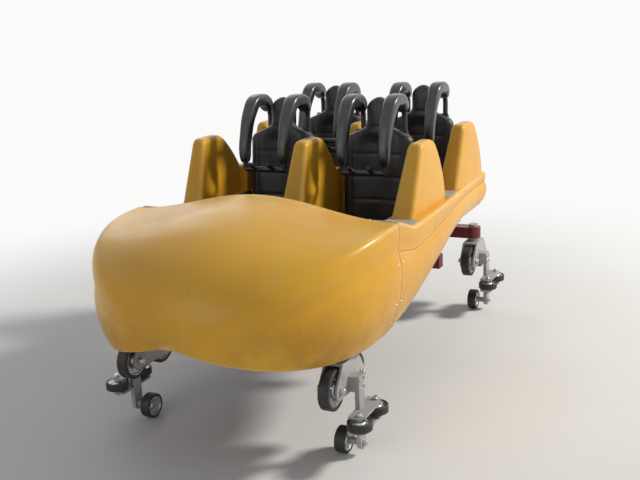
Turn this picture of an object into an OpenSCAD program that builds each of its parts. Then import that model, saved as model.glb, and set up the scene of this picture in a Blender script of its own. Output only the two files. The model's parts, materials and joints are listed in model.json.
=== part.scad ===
// Lead car of a looping coaster train: two rows of two seats, amber tub and nose on a maroon chassis.
// Front is -Y, the car's left is +X. Origin on the ground under the middle of the car.

/* [Track] */
// Distance between the two rail centres
rail_gauge = 1200; // [1100:10:1300]
// Radius of the tubular rail
rail_r = 70; // [60:1:75]
// Running gap between the up-stop wheel and the rail
upstop_gap = 10; // [6:1:20]

/* [Wheels] */
// Radius of a running wheel
run_r = 105; // [95:1:108]
// Width of a running wheel
run_w = 60; // [50:1:64]
// Distance of a running wheel from the carrier's middle, along the track
run_off = 125; // [120:1:140]
// Radius of a guide wheel
guide_r = 65; // [55:1:66]
// Width of a guide wheel
guide_w = 45; // [35:1:50]
// Distance of a guide wheel from the carrier's middle, along the track
guide_off = 107; // [104:1:125]
// Radius of an up-stop wheel
upstop_r = 70; // [60:1:80]
// Width of an up-stop wheel
upstop_w = 60; // [50:1:64]
// Radius of a running wheel's axle
run_pin_r = 20; // [15:1:26]
// Radius of a guide wheel's axle
guide_pin_r = 14; // [10:1:20]
// Radius of an up-stop wheel's axle
upstop_pin_r = 18; // [12:1:24]
// Radius of the king pin on which a carrier swivels
king_r = 25; // [18:1:32]
// Length between the two axle beams
wheelbase = 2400; // [2300:10:2500]
// Place of the front axle along the car
front_axle_y = -1075; // [-1120:5:-1050]

/* [Tub] */
// Half width over the outer faces of the seat fins
fin_out = 750; // [742:1:762]
// How far the rim stands out past the fins at the front
rim_flare = 60; // [40:1:80]
// Height of the sill above the ground
sill_z = 1075; // [1065:1:1095]
// Rise of the sill up to the nose
sill_rise = 70; // [40:1:90]
// Radius of the rim's outer edge
rim_r = 20; // [12:1:24]
// Half width of the tub at its lower edge
low_w = 705; // [690:1:725]
// Height of the lower edge at the rear
low_rear_z = 845; // [838:1:880]
// Height of the lower edge at the nose
low_front_z = 530; // [526:1:560]
// Bulge of the side at the front
belly = 62; // [40:1:80]
// Depth of the cove under the rim
cove = 16; // [0:1:24]
// Thickness of a body moulding
skin = 14; // [10:1:18]
// Half width between the sills
sill_in = 600; // [592:1:606]
// Rear end of the tub
tub_rear_y = 1105; // [1095:5:1140]
// Height of the front footwell's floor
floor_z = 600; // [600:1:620]
// Height of the rear footwell's floor
rear_floor_z = 650; // [640:1:680]
// Thickness of the floor moulding
floor_t = 10; // [6:1:14]
// Height of the seat bases
base_z = 845; // [838:1:860]
// Length of the anti-slip treads ahead of the front fins
tread_len = 180; // [120:5:185]

/* [Nose] */
// Place of the nose's rear lip
lip_y = -765; // [-790:5:-740]
// Length of the nose ahead of its lip
nose_len = 918; // [800:2:1000]
// Height of the nose's crest
crest_z = 1255; // [1230:5:1290]
// Height of the nose's tip
tip_z = 715; // [680:5:780]
// How much rounder the nose's shoulders are ahead of the lip
nose_round = 130; // [90:5:150]
// Fullness of the nose seen from above
nose_power = 2.3; // [2.1:0.1:2.6]

/* [Seats] */
// Distance between the two rows
row_pitch = 820; // [815:1:840]
// Place of the front row's fin tops
fin_y = -225; // [-235:1:-215]
// Height of the fins above the sill
fin_h = 390; // [340:5:430]
// Length of a fin's flat top
fin_top = 205; // [180:5:230]
// How far a fin's front edge runs forward at the sill
fin_lead = 175; // [150:5:185]
// How far a fin's rear edge runs back at the sill
fin_trail = 225; // [210:5:230]
// Thickness of a fin at the sill
fin_base_t = 130; // [110:1:140]
// Thickness of a fin at its top
fin_top_t = 85; // [70:1:100]
// Thickness of the centre divider at its foot
divider_t = 140; // [120:1:150]
// Height of the seat shell's back wall above the sill
wall_h = 165; // [120:5:180]
// Width of a seat cushion
seat_w = 505; // [460:5:515]
// Thickness of a seat cushion
cushion_t = 85; // [70:1:110]
// Thickness of a seat's back pad
back_t = 85; // [70:1:95]
// Lean of the seat back, as run over rise
lean = 0.10; // [0.06:0.01:0.12]
// Half width of a headrest
head_w = 82; // [66:1:86]
// Height of a headrest's top
head_z = 1690; // [1660:5:1710]

/* [Restraints] */
// Distance of a shoulder arm from the seat's middle
arm_x = 136; // [132:1:145]
// Radius of a restraint's tube
arm_r = 17; // [14:1:20]
// Bend radius of a restraint's tube
arm_bend = 62; // [50:1:70]
// Radius of the pivot shaft behind the seats
shaft_r = 16; // [12:1:18]
// Outer radius of a restraint's pivot barrel
barrel_r = 25; // [23:1:28]
// Width of a collar's arm beside the head
collar_w = 88; // [76:1:90]
// Width of a collar's arm at the chest
collar_low_w = 62; // [54:1:76]
// Thickness of a collar's arm
collar_t = 72; // [60:1:80]

/* [Hidden] */
// Clearances: seated faces, running pins and moving pieces
seat_gap = 0.3;
run_gap = 0.1;
move_gap = 10;

rail_x = rail_gauge / 2;
rail_z = 2 * upstop_r + upstop_gap + rail_r;
run_z = rail_z + rail_r + run_r;
guide_x = rail_x + rail_r + guide_r + 2;
rear_axle_y = front_axle_y + wheelbase;

// Carrier: cheek plates beside the running wheels, a yoke over them and an arm round the rail
plate_t = 12;
pin_proud = 6;
cheek_gap = run_w / 2 + move_gap;
cheek_end = 45;
cheek_chamfer = 25;
cheek_half = 21;
cheek_low = 48;
cheek_shoulder = 92;
yoke_z = run_z + run_r + 5;
yoke_t = 15;
fork_gap = guide_w / 2 + 12;
fork_edge = 30;
fork_root = 20;
guide_boss_r = 30;
arm_t = 24;
arm_half = guide_off - guide_r - 7;
arm_in = rail_x + rail_r + 14;
link_low = 40;
link_high = 40;
beam_z = yoke_z + yoke_t + 25;
beam_h = 80;
beam_w = 100;
boss_r = 52;
king_nut_t = 20;
king_nut_r = king_r + 10;
king_collar_r = king_r + 14;

// Chassis
spine_w = 160;
spine_h = 112;
spine_front = front_axle_y - 90;
spine_rear = rear_axle_y + 90;
spine_top = beam_z - seat_gap;
cross_w = 80;
cross_half = sill_in - 80;
post_w = 60;
post_x = 330;
fin_plate_t = 12;
fin_plate_h = 150;
fin_plate_half = 600;
// Members across the spine: distance of a floor's member from the well's end, and of a post's from its row
floor_member = [160, 150];
post_member = [-60, -20];
// Dogs under the spine, one beyond each end of the brake fin: the pivot, ears and pawl that each has
dog_gap = 200;
dog_plate_t = 8;
dog_in = 14;
dog_pin_r = 9;
dog_drop = 38;
ear_top = 36;
ear_low = 16;
pawl_reach = 53;
pawl_drop = 110;
drawbar_len = 225;
drawbar_w = 70;
drawbar_t = 44;
eye_r = 42;
eye_pin_r = 20;

rows = [0, row_pitch];
sides = [1, -1];
dash_y = lip_y - 140;
dash_gap = 2;
tub_rear_gap = 20;
tub_half = sill_in - seat_gap;
seat_x = (divider_t / 2 + tub_half - floor_t) / 2;
cushion_z = base_z + cushion_t;
cushion_front = -290;
back_front = 95;
head_len = 190;
shoulder_z = head_z - head_len;
pivot_y = 277;
pivot_z = shoulder_z - 105;
barrel_half = arm_x + 21;
well_y = 238;
wing_edge = 60;
wing_depth = 70;
wing_gap = 2;
divider_foot = 12;
bracket_gap = 2;
bracket_foot = 45;
plate_margin = 10;
pad_gap = 4;
pad_rear = 10;
pad_corner = 45;
pad_bolster = 20;
back_corner = 30;
head_crown = 22;
tread_gap = 10;
tread_edge = 8;
bracket_t = 8;
backplate_t = 6;
wall_t = 16;
tread_t = 4;

// Restraint path seen from the side, from the pivot over the shoulder to the chest: y, z
arm_path = [for (p = [[pivot_y, 295], [285, 118], [205, 22], [70, 22], [-15, 130], [-72, 295], [-72, 428]])
    [p[0], head_z - p[1]]];
grip_r = 14;
grip_len = 95;
grip_lean = 62;
grip_x = 62;

// Seats: name, row index, side
SEATS = [["front_left", 0, 1], ["front_right", 0, -1], ["rear_left", 1, 1], ["rear_right", 1, -1]];
// Corners: name, side, place along the car
CORNERS = [["front_left", 1, front_axle_y], ["front_right", -1, front_axle_y],
    ["rear_left", 1, rear_axle_y], ["rear_right", -1, rear_axle_y]];
// Wheels of a corner: name, kind, direction along the track
WHEELS = [["run_wheel_a", "run", -1], ["run_wheel_b", "run", 1],
    ["guide_wheel_a", "guide", -1], ["guide_wheel_b", "guide", 1], ["upstop_wheel", "upstop", 0]];

function smooth(t) = let (c = min(1, max(0, t))) c * c * (3 - 2 * c);
function mix(a, b, t) = a + (b - a) * t;
function flip(faces) = [for (f = faces) [for (k = [len(f) - 1 : -1 : 0]) f[k]]];

// Outline of the tub's side: where its rim and lower edge start to rise, and over what length they blend
rise_y = -480;
low_y = -800;
blend_len = 1500;
rear_belly = 0.45;
function rim_z(y) = sill_z + sill_rise * smooth((rise_y - y) / (rise_y - lip_y));
function rim_w(y) = fin_out + rim_flare * smooth((tub_rear_y - y) / blend_len);
function low_z(y) = mix(low_front_z, low_rear_z, smooth((y - low_y) / blend_len));
function belly_at(y) = belly * mix(rear_belly, 1, smooth((tub_rear_y - y) / blend_len));
function side_x(y, u) = mix(low_w, rim_w(y), u) + belly_at(y) * sin(180 * pow(u, 0.75))
    - cove * exp(-pow((u - 0.8) / 0.1, 2));
side_steps = 9;

// Side of the tub from its lower edge to the start of the rim's curve: x, z
function side_curve(y, inset, r) = [for (i = [0 : side_steps]) let (u = i / side_steps)
    [side_x(y, u) - inset, mix(low_z(y), rim_z(y) - r, u)]];
// Curve of the rim's edge, up to the angle where the top begins: x, z
function rim_curve(y, inset, r, top_angle = 90) = [for (i = [1 : 4]) let (a = top_angle * i / 4)
    [side_x(y, 1) - r + (r - inset) * cos(a), rim_z(y) - r + (r - inset) * sin(a)]];

// The side is moulded in two: a panel up to this step of its curve, and a sill with the rim above it
sill_step = 7;
function panel_section(y) = let (outer = side_curve(y, 0, rim_r), inner = side_curve(y, skin, rim_r))
    [for (p = concat([for (i = [0 : sill_step]) outer[i]], [for (i = [sill_step : -1 : 0]) inner[i]]))
        [p[0], y, p[1]]];
function sill_section(y) = let (top = rim_z(y), outer = side_curve(y, 0, rim_r),
    inner = side_curve(y, skin, rim_r), lift = [0, seat_gap])
    [for (p = concat([outer[sill_step] + lift], [for (i = [sill_step + 1 : side_steps]) outer[i]],
        rim_curve(y, 0, rim_r), [[sill_in, top], [sill_in, top - skin]],
        [[side_x(y, 1) - skin - rim_r / 2, top - skin]],
        [for (i = [side_steps : -1 : sill_step + 1]) inner[i]], [inner[sill_step] + lift])) [p[0], y, p[1]]];
panel_stations = [for (i = [0 : 12]) mix(tub_rear_y - skin - seat_gap, lip_y + seat_gap, i / 12)];
// Height of the sill's top as moulded between the panel's stations
function sill_at(y) = lookup(y, [for (s = panel_stations) [s, rim_z(s)]]);

// Half of a nose section, from the lower edge to the crest; phi runs from the lip to the tip
function nose_k(phi) = pow(cos(phi), 2 / nose_power);
function nose_u(phi) = pow(sin(phi), 2 / nose_power);
// The crown is a bell at the lip, and further forward a dome that runs on from the shoulder's curve
dome_power = 2.2;
dome_angle = 55;
function dome_share(phi) = smooth(phi / dome_angle);
function crown(q, phi) = mix(pow(cos(90 * q), 2), 1 - pow(q, dome_power), dome_share(phi));
function shoulder_r(phi) = rim_r + nose_round * pow(sin(phi), 1.5);
crown_steps = 9;
function nose_half(phi, inset) = let (r = shoulder_r(phi),
    slope = atan(dome_power * dome_share(phi) * (crest_z - rim_z(lip_y)) / side_x(lip_y, 1)),
    rim = rim_curve(lip_y, inset, r, 90 - slope), start = rim[len(rim) - 1])
    concat(side_curve(lip_y, inset, r), rim, [for (i = [1 : crown_steps]) let (q = 1 - i / crown_steps)
        [start[0] * q, start[1] + (crest_z - inset - start[1]) * crown(q, phi)]]);
function nose_ring(phi, inset) = let (half = nose_half(phi, inset), k = nose_k(phi), n = len(half),
    y = lip_y - (nose_len - inset) * nose_u(phi))
    [for (i = [0 : 2 * n - 2]) let (s = i < n ? 1 : -1, p = half[i < n ? i : 2 * n - 2 - i])
        [s * p[0] * k, y, mix(tip_z, p[1], k)]];
nose_angles = [0, 14, 25, 34, 42, 49, 56, 62, 68, 73, 78, 83, 87.5];

// Levels of a fin: share of its height, from the sill to the rounded top
fin_levels = [0, 0.12, 0.25, 0.4, 0.55, 0.7, 0.82, 0.91, 0.965, 0.99, 1];
function fin_front(u) = fin_y - fin_lead * (1 - u);
function fin_rear(u) = fin_y + fin_top + fin_trail * pow(1 - pow(u, 1.7), 0.85);
// Rounded rectangle at height z, counter-clockwise from above
function round_rect(x0, x1, y0, y1, r, z, steps = 3) = let (
    corners = [[x1 - r, y1 - r, 0], [x0 + r, y1 - r, 90], [x0 + r, y0 + r, 180], [x1 - r, y0 + r, 270]])
    [for (c = corners, i = [0 : steps]) let (a = c[2] + 90 * i / steps)
        [c[0] + r * cos(a), c[1] + r * sin(a), z]];

// Rounding of a fin's top edge and of its upright corners
fin_shoulder = 0.91;
fin_crown = 22;
fin_corner = 28;
function fin_round(u) = u < fin_shoulder ? 0
    : fin_crown * (1 - sqrt(1 - pow((u - fin_shoulder) / (1 - fin_shoulder), 2)));
function fin_ring(x0, x1, u, low) = let (r = fin_round(u))
    round_rect(x0 + r, x1 - r, fin_front(u) + r, fin_rear(u) - r, fin_corner - r * 0.6, mix(low, sill_z + fin_h, u));

// Closed solid through rings of points, one ring a station
module loft(rings) {
    n = len(rings[0]);
    m = len(rings);
    walls = [for (i = [0 : m - 2], j = [0 : n - 1]) let (a = i * n + j, b = i * n + (j + 1) % n)
        each [[a, b, b + n], [a, b + n, a + n]]];
    caps = [[for (j = [n - 1 : -1 : 0]) j], [for (j = [0 : n - 1]) (m - 1) * n + j]];
    polyhedron([for (r = rings) each r], flip(concat(walls, caps)), convexity = 8);
}

// Open shell with a closed front, between outer and inner curves of the same count
module shell(outer, inner) {
    n = len(outer[0]);
    m = len(outer);
    function o(i, j) = i * n + j;
    function v(i, j) = (m + i) * n + j;
    skins = [for (i = [0 : m - 2], j = [0 : n - 2]) each [
        [o(i, j), o(i, j + 1), o(i + 1, j + 1)], [o(i, j), o(i + 1, j + 1), o(i + 1, j)],
        [v(i, j), v(i + 1, j + 1), v(i, j + 1)], [v(i, j), v(i + 1, j), v(i + 1, j + 1)]]];
    lip = [for (j = [0 : n - 2]) each [[o(0, j + 1), o(0, j), v(0, j)], [o(0, j + 1), v(0, j), v(0, j + 1)]]];
    hems = [for (i = [0 : m - 2]) each [
        [o(i, 0), o(i + 1, 0), v(i + 1, 0)], [o(i, 0), v(i + 1, 0), v(i, 0)],
        [o(i + 1, n - 1), o(i, n - 1), v(i, n - 1)], [o(i + 1, n - 1), v(i, n - 1), v(i + 1, n - 1)]]];
    front = [[for (j = [0 : n - 1]) o(m - 1, j)], [for (j = [n - 1 : -1 : 0]) v(m - 1, j)],
        [o(m - 1, 0), o(m - 1, n - 1), v(m - 1, n - 1), v(m - 1, 0)]];
    points = concat([for (r = outer) each r], [for (r = inner) each r]);
    polyhedron(points, flip(concat(skins, lip, hems, front)), convexity = 8);
}

// Cylinder along X between two places
module x_rod(x0, x1, y, z, r) {
    translate([min(x0, x1), y, z]) rotate([0, 90, 0]) cylinder(r = r, h = abs(x1 - x0), $fn = 48);
}

// Flat plate with a side outline given as y, z, between two places on X
module side_plate(x0, x1, outline) {
    translate([x0, 0, 0]) rotate([90, 0, 90]) linear_extrude(x1 - x0) polygon(outline);
}

module block(x0, x1, y0, y1, z0, z1) {
    translate([x0, y0, z0]) cube([x1 - x0, y1 - y0, z1 - z0]);
}

module nose_cowl() {
    color("goldenrod")
        shell([for (a = nose_angles) nose_ring(a, 0)], [for (a = nose_angles) nose_ring(a, skin)]);
}

module side_panel(side) {
    color("goldenrod") mirror([side < 0 ? 1 : 0, 0, 0]) loft([for (y = panel_stations) panel_section(y)]);
}

module sill(side) {
    color("goldenrod") mirror([side < 0 ? 1 : 0, 0, 0]) loft([for (y = panel_stations) sill_section(y)]);
}

// Rear closing panel with the shape of the tub's section at its end
module rear_panel() {
    y = tub_rear_y;
    half = concat(side_curve(y, 0, rim_r), rim_curve(y, 0, rim_r));
    outline = concat(half, [for (i = [len(half) - 1 : -1 : 0]) [-half[i][0], half[i][1]]]);
    color("goldenrod") translate([0, y, 0]) rotate([90, 0, 0]) linear_extrude(skin) polygon(outline);
}

// Side outline of the floor: two footwells and two raised seat bases
tub_end = tub_rear_y - skin - seat_gap - tub_rear_gap;
function tub_path(t) = let (up = t - floor_t, rise = cushion_front - t, rear_rise = rise + row_pitch)
    [[dash_y + t, floor_z + up], [rise, floor_z + up], [rise + floor_t, base_z + up], [well_y - t, base_z + up],
     [well_y + up, rear_floor_z + up], [rear_rise, rear_floor_z + up], [rear_rise + floor_t, base_z + up],
     [tub_end - t, base_z + up]];

// Top of the tub's walls, just under the sills and the cowl, from the rear forward
function tub_top(rear, front) = let (top = skin + seat_gap)
    concat([[rear, sill_at(rear) - top]],
        [for (y = panel_stations) if (y < rear - 1 && y > front) [y, sill_at(y) - top]],
        [[front, rim_z(lip_y) - top - 25]]);
module floor_tub() {
    outer = concat(tub_path(0), tub_top(tub_end, dash_y));
    inner = concat(tub_path(floor_t), [for (p = tub_top(tub_end - floor_t, dash_y + floor_t)) p + [0, 20]]);
    color("dimgray") difference() {
        side_plate(-tub_half, tub_half, outer);
        side_plate(-tub_half + floor_t, tub_half - floor_t, inner);
    }
}

// Bulkhead that closes the nose ahead of the footwell
module dash_panel() {
    y = dash_y - seat_gap;
    // The cowl's inner face at the bulkhead's front, between its first two sections
    a = nose_ring(nose_angles[0], skin + dash_gap);
    b = nose_ring(nose_angles[1], skin + dash_gap);
    t = (a[0][1] - y + floor_t) / (a[0][1] - b[0][1]);
    outline = [for (i = [0 : len(a) - 1]) let (p = mix(a[i], b[i], t)) [p[0], p[2]]];
    low = floor_z - floor_t;
    color("dimgray") translate([0, y, 0]) rotate([90, 0, 0]) linear_extrude(floor_t) intersection() {
        polygon(outline);
        translate([-fin_out, low]) square([2 * fin_out, crest_z - low]);
    }
}

// Anti-slip treads on the sills ahead of each fin
module entry_treads() {
    starts = [[fin_front(0) - tread_gap - tread_len, fin_front(0) - tread_gap],
        [fin_rear(0) + tread_gap, fin_front(0) + row_pitch - tread_gap]];
    color("lightgray") for (side = sides, s = starts) mirror([side < 0 ? 1 : 0, 0, 0])
        loft([for (y = concat([s[1]], [for (p = panel_stations) if (p > s[0] && p < s[1]) p], [s[0]]))
            let (z = sill_at(y) + seat_gap, x0 = sill_in + tread_edge, x1 = side_x(y, 1) - rim_r - tread_edge)
            [[x1, y, z], [x1, y, z + tread_t], [x0, y, z + tread_t], [x0, y, z]]]);
}

// Fin beside a seat, standing on the sill; its outer face is upright
module outer_fin(side) {
    mirror([side < 0 ? 1 : 0, 0, 0])
        loft([for (u = fin_levels) fin_ring(fin_out - mix(fin_base_t, fin_top_t, u), fin_out, u, sill_z + seat_gap)]);
}

// Divider between the two seats, standing on the seat base
module divider() {
    foot = [for (t = [0, 0.5]) let (z = mix(base_z, sill_z, t), w = divider_t / 2)
        round_rect(-w, w, mix(cushion_front + divider_foot, fin_front(0), t),
            mix(back_wall(z) + wall_t / 2, fin_rear(0), t), fin_corner, z)];
    head = [for (u = fin_levels) let (w = mix(divider_t, fin_top_t, u) / 2) fin_ring(-w, w, u, sill_z)];
    loft(concat(foot, head));
}

// Faces of the leaning seat back at height z
function back_pad(z) = back_front + (z - cushion_z) * lean;
function back_wall(z) = back_pad(z) + back_t + seat_gap;

module seat_shell(row) {
    top = sill_z + wall_h;
    wall = [for (p = [[base_z, 0], [top, 0], [top, wall_t], [base_z, wall_t]]) [back_wall(p[0]) + p[1], p[0]]];
    low = sill_z + seat_gap;
    high = [for (p = [[low, 0], [top, 0], [top, wall_t], [low, wall_t]]) [back_wall(p[0]) + p[1], p[0]]];
    wing = [for (p = [[low, -wing_depth], [top, -wing_depth], [top, 1], [low, 1]]) [back_wall(p[0]) + p[1], p[0]]];
    pad_edge = seat_x + seat_w / 2 + wing_gap;
    color("goldenrod") translate([0, rows[row], 0]) {
        for (side = sides) outer_fin(side);
        divider();
        side_plate(-tub_half + floor_t + seat_gap, tub_half - floor_t - seat_gap, wall);
        side_plate(-fin_out + wing_edge, fin_out - wing_edge, high);
        side_plate(divider_foot - divider_t / 2, divider_t / 2 - divider_foot, wing);
        for (x = [[pad_edge, fin_out - wing_edge], [wing_edge - fin_out, -pad_edge]]) side_plate(x[0], x[1], wing);
    }
}

// Seat pad: cushion, and back with shoulders and headrest
cushion_levels = [[0, 10], [0.25, 0], [0.75, 0], [0.93, 9], [1, 28]];
back_levels = [0, 0.12, 0.3, 0.5, 0.68, 0.76, 0.82, 0.9, 0.94, 0.965, 0.985, 0.996, 1];
// The headrest ends in a dome; below its shoulders the back is as wide as the cushion less its bolsters
function dome_at(z) = sqrt(max(0.02, 1 - pow(max(0, (z - head_z + head_w) / head_w), 2)));
function back_half(z) = mix(head_w, seat_w / 2 - pad_bolster, smooth((shoulder_z + 20 - z) / 90)) * dome_at(z);
module seat_pad(seat) {
    half = seat_w / 2;
    low = base_z + seat_gap;
    color("dimgray") translate([seat[2] * seat_x, rows[seat[1]], 0]) {
        loft([for (c = cushion_levels) let (i = c[1])
            round_rect(-half + i, half - i, cushion_front + pad_gap + i, back_front - pad_rear - i, pad_corner - i,
                mix(low, cushion_z, c[0]))]);
        loft([for (t = back_levels) let (z = mix(low, head_z, t), i = head_crown * (1 - dome_at(z)), w = back_half(z),
            y = back_pad(z)) round_rect(-w, w, y + i, y + back_t - i * 0.5, min(back_corner, w * 0.9), z)]);
    }
}

// Steel behind a row: pivot shaft, brackets on the back wall, back plates and headrest struts
module restraint_mount(row) {
    low = sill_z + pad_corner / 2;
    high = sill_z + wall_h;
    plate_top = shoulder_z - 2 * plate_margin;
    strut_top = head_z - head_w;
    knee = barrel_r + bracket_gap;
    function wall_face(z) = back_wall(z) + wall_t + seat_gap;
    bracket = [[wall_face(low), low], [wall_face(high), high], [wall_face(high), high + seat_gap],
        [back_wall(high), high + seat_gap], [back_wall(plate_top), plate_top],
        [back_wall(plate_top) + 2 * backplate_t, plate_top], [pivot_y + knee / 2, pivot_z + knee],
        [pivot_y + knee, pivot_z], [pivot_y + knee * 0.8, pivot_z - knee], [wall_face(low) + bracket_foot, low]];
    function leaf(foot, top) = [for (p = [[foot, 0], [top, 0], [top, backplate_t], [foot, backplate_t]])
        [back_wall(p[0]) + p[1], p[0]]];
    plate = leaf(high + seat_gap, plate_top);
    strut = leaf(high + seat_gap, strut_top);
    color("dimgray") translate([0, rows[row], 0]) {
        for (side = sides) {
            for (s = sides) let (x = side * seat_x + s * (barrel_half + bracket_gap + bracket_t / 2)) {
                side_plate(x - bracket_t / 2, x + bracket_t / 2, bracket);
                x_rod(x - bracket_t / 2, x + bracket_t / 2, pivot_y, pivot_z, barrel_r + 5);
            }
            for (p = [[barrel_half + bracket_gap + bracket_t, plate], [head_w - plate_margin, strut]])
                side_plate(side * seat_x - p[0], side * seat_x + p[0], p[1]);
        }
        shaft_end = seat_x + barrel_half + bracket_t + 2 * pin_proud;
        x_rod(-shaft_end, shaft_end, pivot_y, pivot_z, shaft_r);
    }
}

function unit(v) = v / norm(v);
function corner_angle(a, b, c) = acos(unit(b - a) * unit(c - b));

// Places along the restraint tube, with each corner of its path rounded by an arc: y, z and direction
bend_steps = 4;
function bend_places(a, b, c) = let (d = unit(b - a), e = unit(c - b), turn = corner_angle(a, b, c),
    s = sign(d[0] * e[1] - d[1] * e[0]), start = b - d * arm_bend * tan(turn / 2),
    centre = start + s * arm_bend * [-d[1], d[0]])
    [for (i = [0 : bend_steps]) let (q = s * turn * i / bend_steps, w = start - centre)
        [centre + [w[0] * cos(q) - w[1] * sin(q), w[0] * sin(q) + w[1] * cos(q)],
         [d[0] * cos(q) - d[1] * sin(q), d[0] * sin(q) + d[1] * cos(q)]]];
arm_places = let (p = arm_path, last = len(p) - 1)
    concat([[p[0], unit(p[1] - p[0])]], [for (i = [1 : last - 1]) each bend_places(p[i - 1], p[i], p[i + 1])],
        [[p[last], unit(p[last] - p[last - 1])]]);
tube_sides = 8;

// Bent tube along the restraint path
module arm_tube() {
    loft([for (a = arm_places) [for (j = [0 : tube_sides - 1]) let (q = 360 * j / tube_sides)
        [arm_r * cos(q), a[0][0] + arm_r * sin(q) * a[1][1], a[0][1] - arm_r * sin(q) * a[1][0]]]]);
}

module restraint_frame(seat) {
    chest = arm_path[len(arm_path) - 1];
    color("darkslategray") translate([seat[2] * seat_x, rows[seat[1]], 0]) {
        difference() {
            union() {
                x_rod(-barrel_half, barrel_half, pivot_y, pivot_z, barrel_r);
                for (s = sides) translate([s * arm_x, 0, 0]) arm_tube();
            }
            x_rod(-barrel_half - 1, barrel_half + 1, pivot_y, pivot_z, shaft_r + run_gap);
        }
        x_rod(-arm_x, arm_x, chest[0], chest[1], arm_r);
        for (s = sides) translate([s * grip_x, chest[0], chest[1]]) rotate([grip_lean, 0, 0])
            cylinder(r = grip_r, h = grip_len, $fn = 32);
    }
}

// Points and directions along the restraint path for the collar's sections
collar_steps = 12;
function path_len(i) = i == 0 ? 0 : path_len(i - 1) + norm(arm_path[i] - arm_path[i - 1]);
function path_at(d, i = 1) = i == len(arm_path) - 1 || d <= path_len(i)
    ? mix(arm_path[i - 1], arm_path[i], (d - path_len(i - 1)) / (path_len(i) - path_len(i - 1))) : path_at(d, i + 1);
soft_step = 19;
function soft_at(d) = let (p = [for (i = [-2 : 2]) path_at(d + i * soft_step)])
    (p[0] + p[1] + p[2] + p[3] + p[4]) / 5;
collar_from = path_len(1) + 30;
collar_to = path_len(len(arm_path) - 1) - 42;
function collar_ring(t) = let (d = mix(collar_from, collar_to, t), p = soft_at(d),
    f = unit(soft_at(d + 6) - soft_at(d - 6)), ends = 1 - 0.35 * pow(abs(2 * t - 1), 14),
    w = mix(collar_w, collar_low_w, smooth(t * 1.5 - 0.35)) / 2 * ends, h = collar_t / 2 * ends,
    shape = [for (q = round_rect(-w, w, -h, h, min(w, h) * 0.62, 0, 3)) [q[0], q[1]]])
    [for (q = shape) [q[0], p[0] + q[1] * f[1], p[1] - q[1] * f[0]]];

module restraint_collar(seat) {
    color("dimgray") for (s = sides) translate([seat[2] * seat_x + s * arm_x, rows[seat[1]], 0])
        loft([for (i = [0 : collar_steps]) collar_ring(i / collar_steps)]);
}

// Spine, cross members, seat posts and brake fin
module chassis_frame() {
    low = spine_top - spine_h;
    // Cross members: place along the car, height of their tops, whether posts stand on them
    members = [[dash_y + floor_member[0], floor_z - floor_t - seat_gap, 0], [post_member[0], spine_top, 1],
        [well_y + floor_member[1], rear_floor_z - floor_t - seat_gap, 0], [row_pitch + post_member[1], spine_top, 1]];
    color("maroon") {
        block(-spine_w / 2, spine_w / 2, spine_front, spine_rear, low, spine_top);
        for (m = members) {
            block(-cross_half, cross_half, m[0] - cross_w / 2, m[0] + cross_w / 2, low + 20, m[1]);
            if (m[2] == 1) for (s = sides)
                block(s * post_x - post_w / 2, s * post_x + post_w / 2, m[0] - post_w / 2, m[0] + post_w / 2,
                    spine_top - 5, base_z - floor_t - seat_gap);
        }
        block(-fin_plate_t / 2, fin_plate_t / 2, -fin_plate_half, fin_plate_half, low - fin_plate_h, low + 1);
    }
}

// Dogs for the lift chain and against rolling back, hung under the spine
module lift_dogs() {
    low = spine_top - spine_h - seat_gap;
    pin_z = low - dog_drop;
    out = dog_in + dog_plate_t;
    ear = [[-ear_top, low], [-ear_low, pin_z - ear_low], [ear_low, pin_z - ear_low], [ear_top, low]];
    pawl = [[-ear_low, pin_z + ear_low], [-ear_low, pin_z - ear_low], [pawl_reach - dog_pin_r, low - pawl_drop],
        [pawl_reach + dog_pin_r, low - pawl_drop + ear_low], [ear_low, pin_z + ear_low]];
    color("dimgray") for (y = [-fin_plate_half - dog_gap, fin_plate_half + dog_gap]) translate([0, y, 0]) {
        for (x = [-out, dog_in]) side_plate(x, x + dog_plate_t, ear);
        x_rod(-out - pin_proud, out + pin_proud, 0, pin_z, dog_pin_r);
        side_plate(2 - dog_in, dog_in - 2, pawl);
    }
}

// Axle beam with a bored boss at each end for the king pins
module axle_beam(y) {
    color("maroon") difference() {
        union() {
            block(-rail_x, rail_x, y - beam_w / 2, y + beam_w / 2, beam_z, beam_z + beam_h);
            for (s = sides) translate([s * rail_x, y, beam_z]) cylinder(r = boss_r, h = beam_h, $fn = 48);
        }
        for (s = sides) translate([s * rail_x, y, beam_z - 1])
            cylinder(r = king_r + run_gap, h = beam_h + 2, $fn = 48);
    }
}

// Coupling bar with the eye for the pin of the next car
module drawbar() {
    z = spine_top - spine_h / 2 - drawbar_t / 2;
    eye_y = spine_rear + drawbar_len;
    color("maroon") difference() {
        union() {
            block(-drawbar_w / 2, drawbar_w / 2, spine_rear + seat_gap, eye_y, z, z + drawbar_t);
            block(-spine_w / 2, spine_w / 2, spine_rear + seat_gap, spine_rear + 16, spine_top - spine_h, spine_top);
            translate([0, eye_y, z]) cylinder(r = eye_r, h = drawbar_t, $fn = 48);
        }
        translate([0, eye_y, z - 1]) cylinder(r = eye_pin_r, h = drawbar_t + 2, $fn = 48);
    }
}

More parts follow.
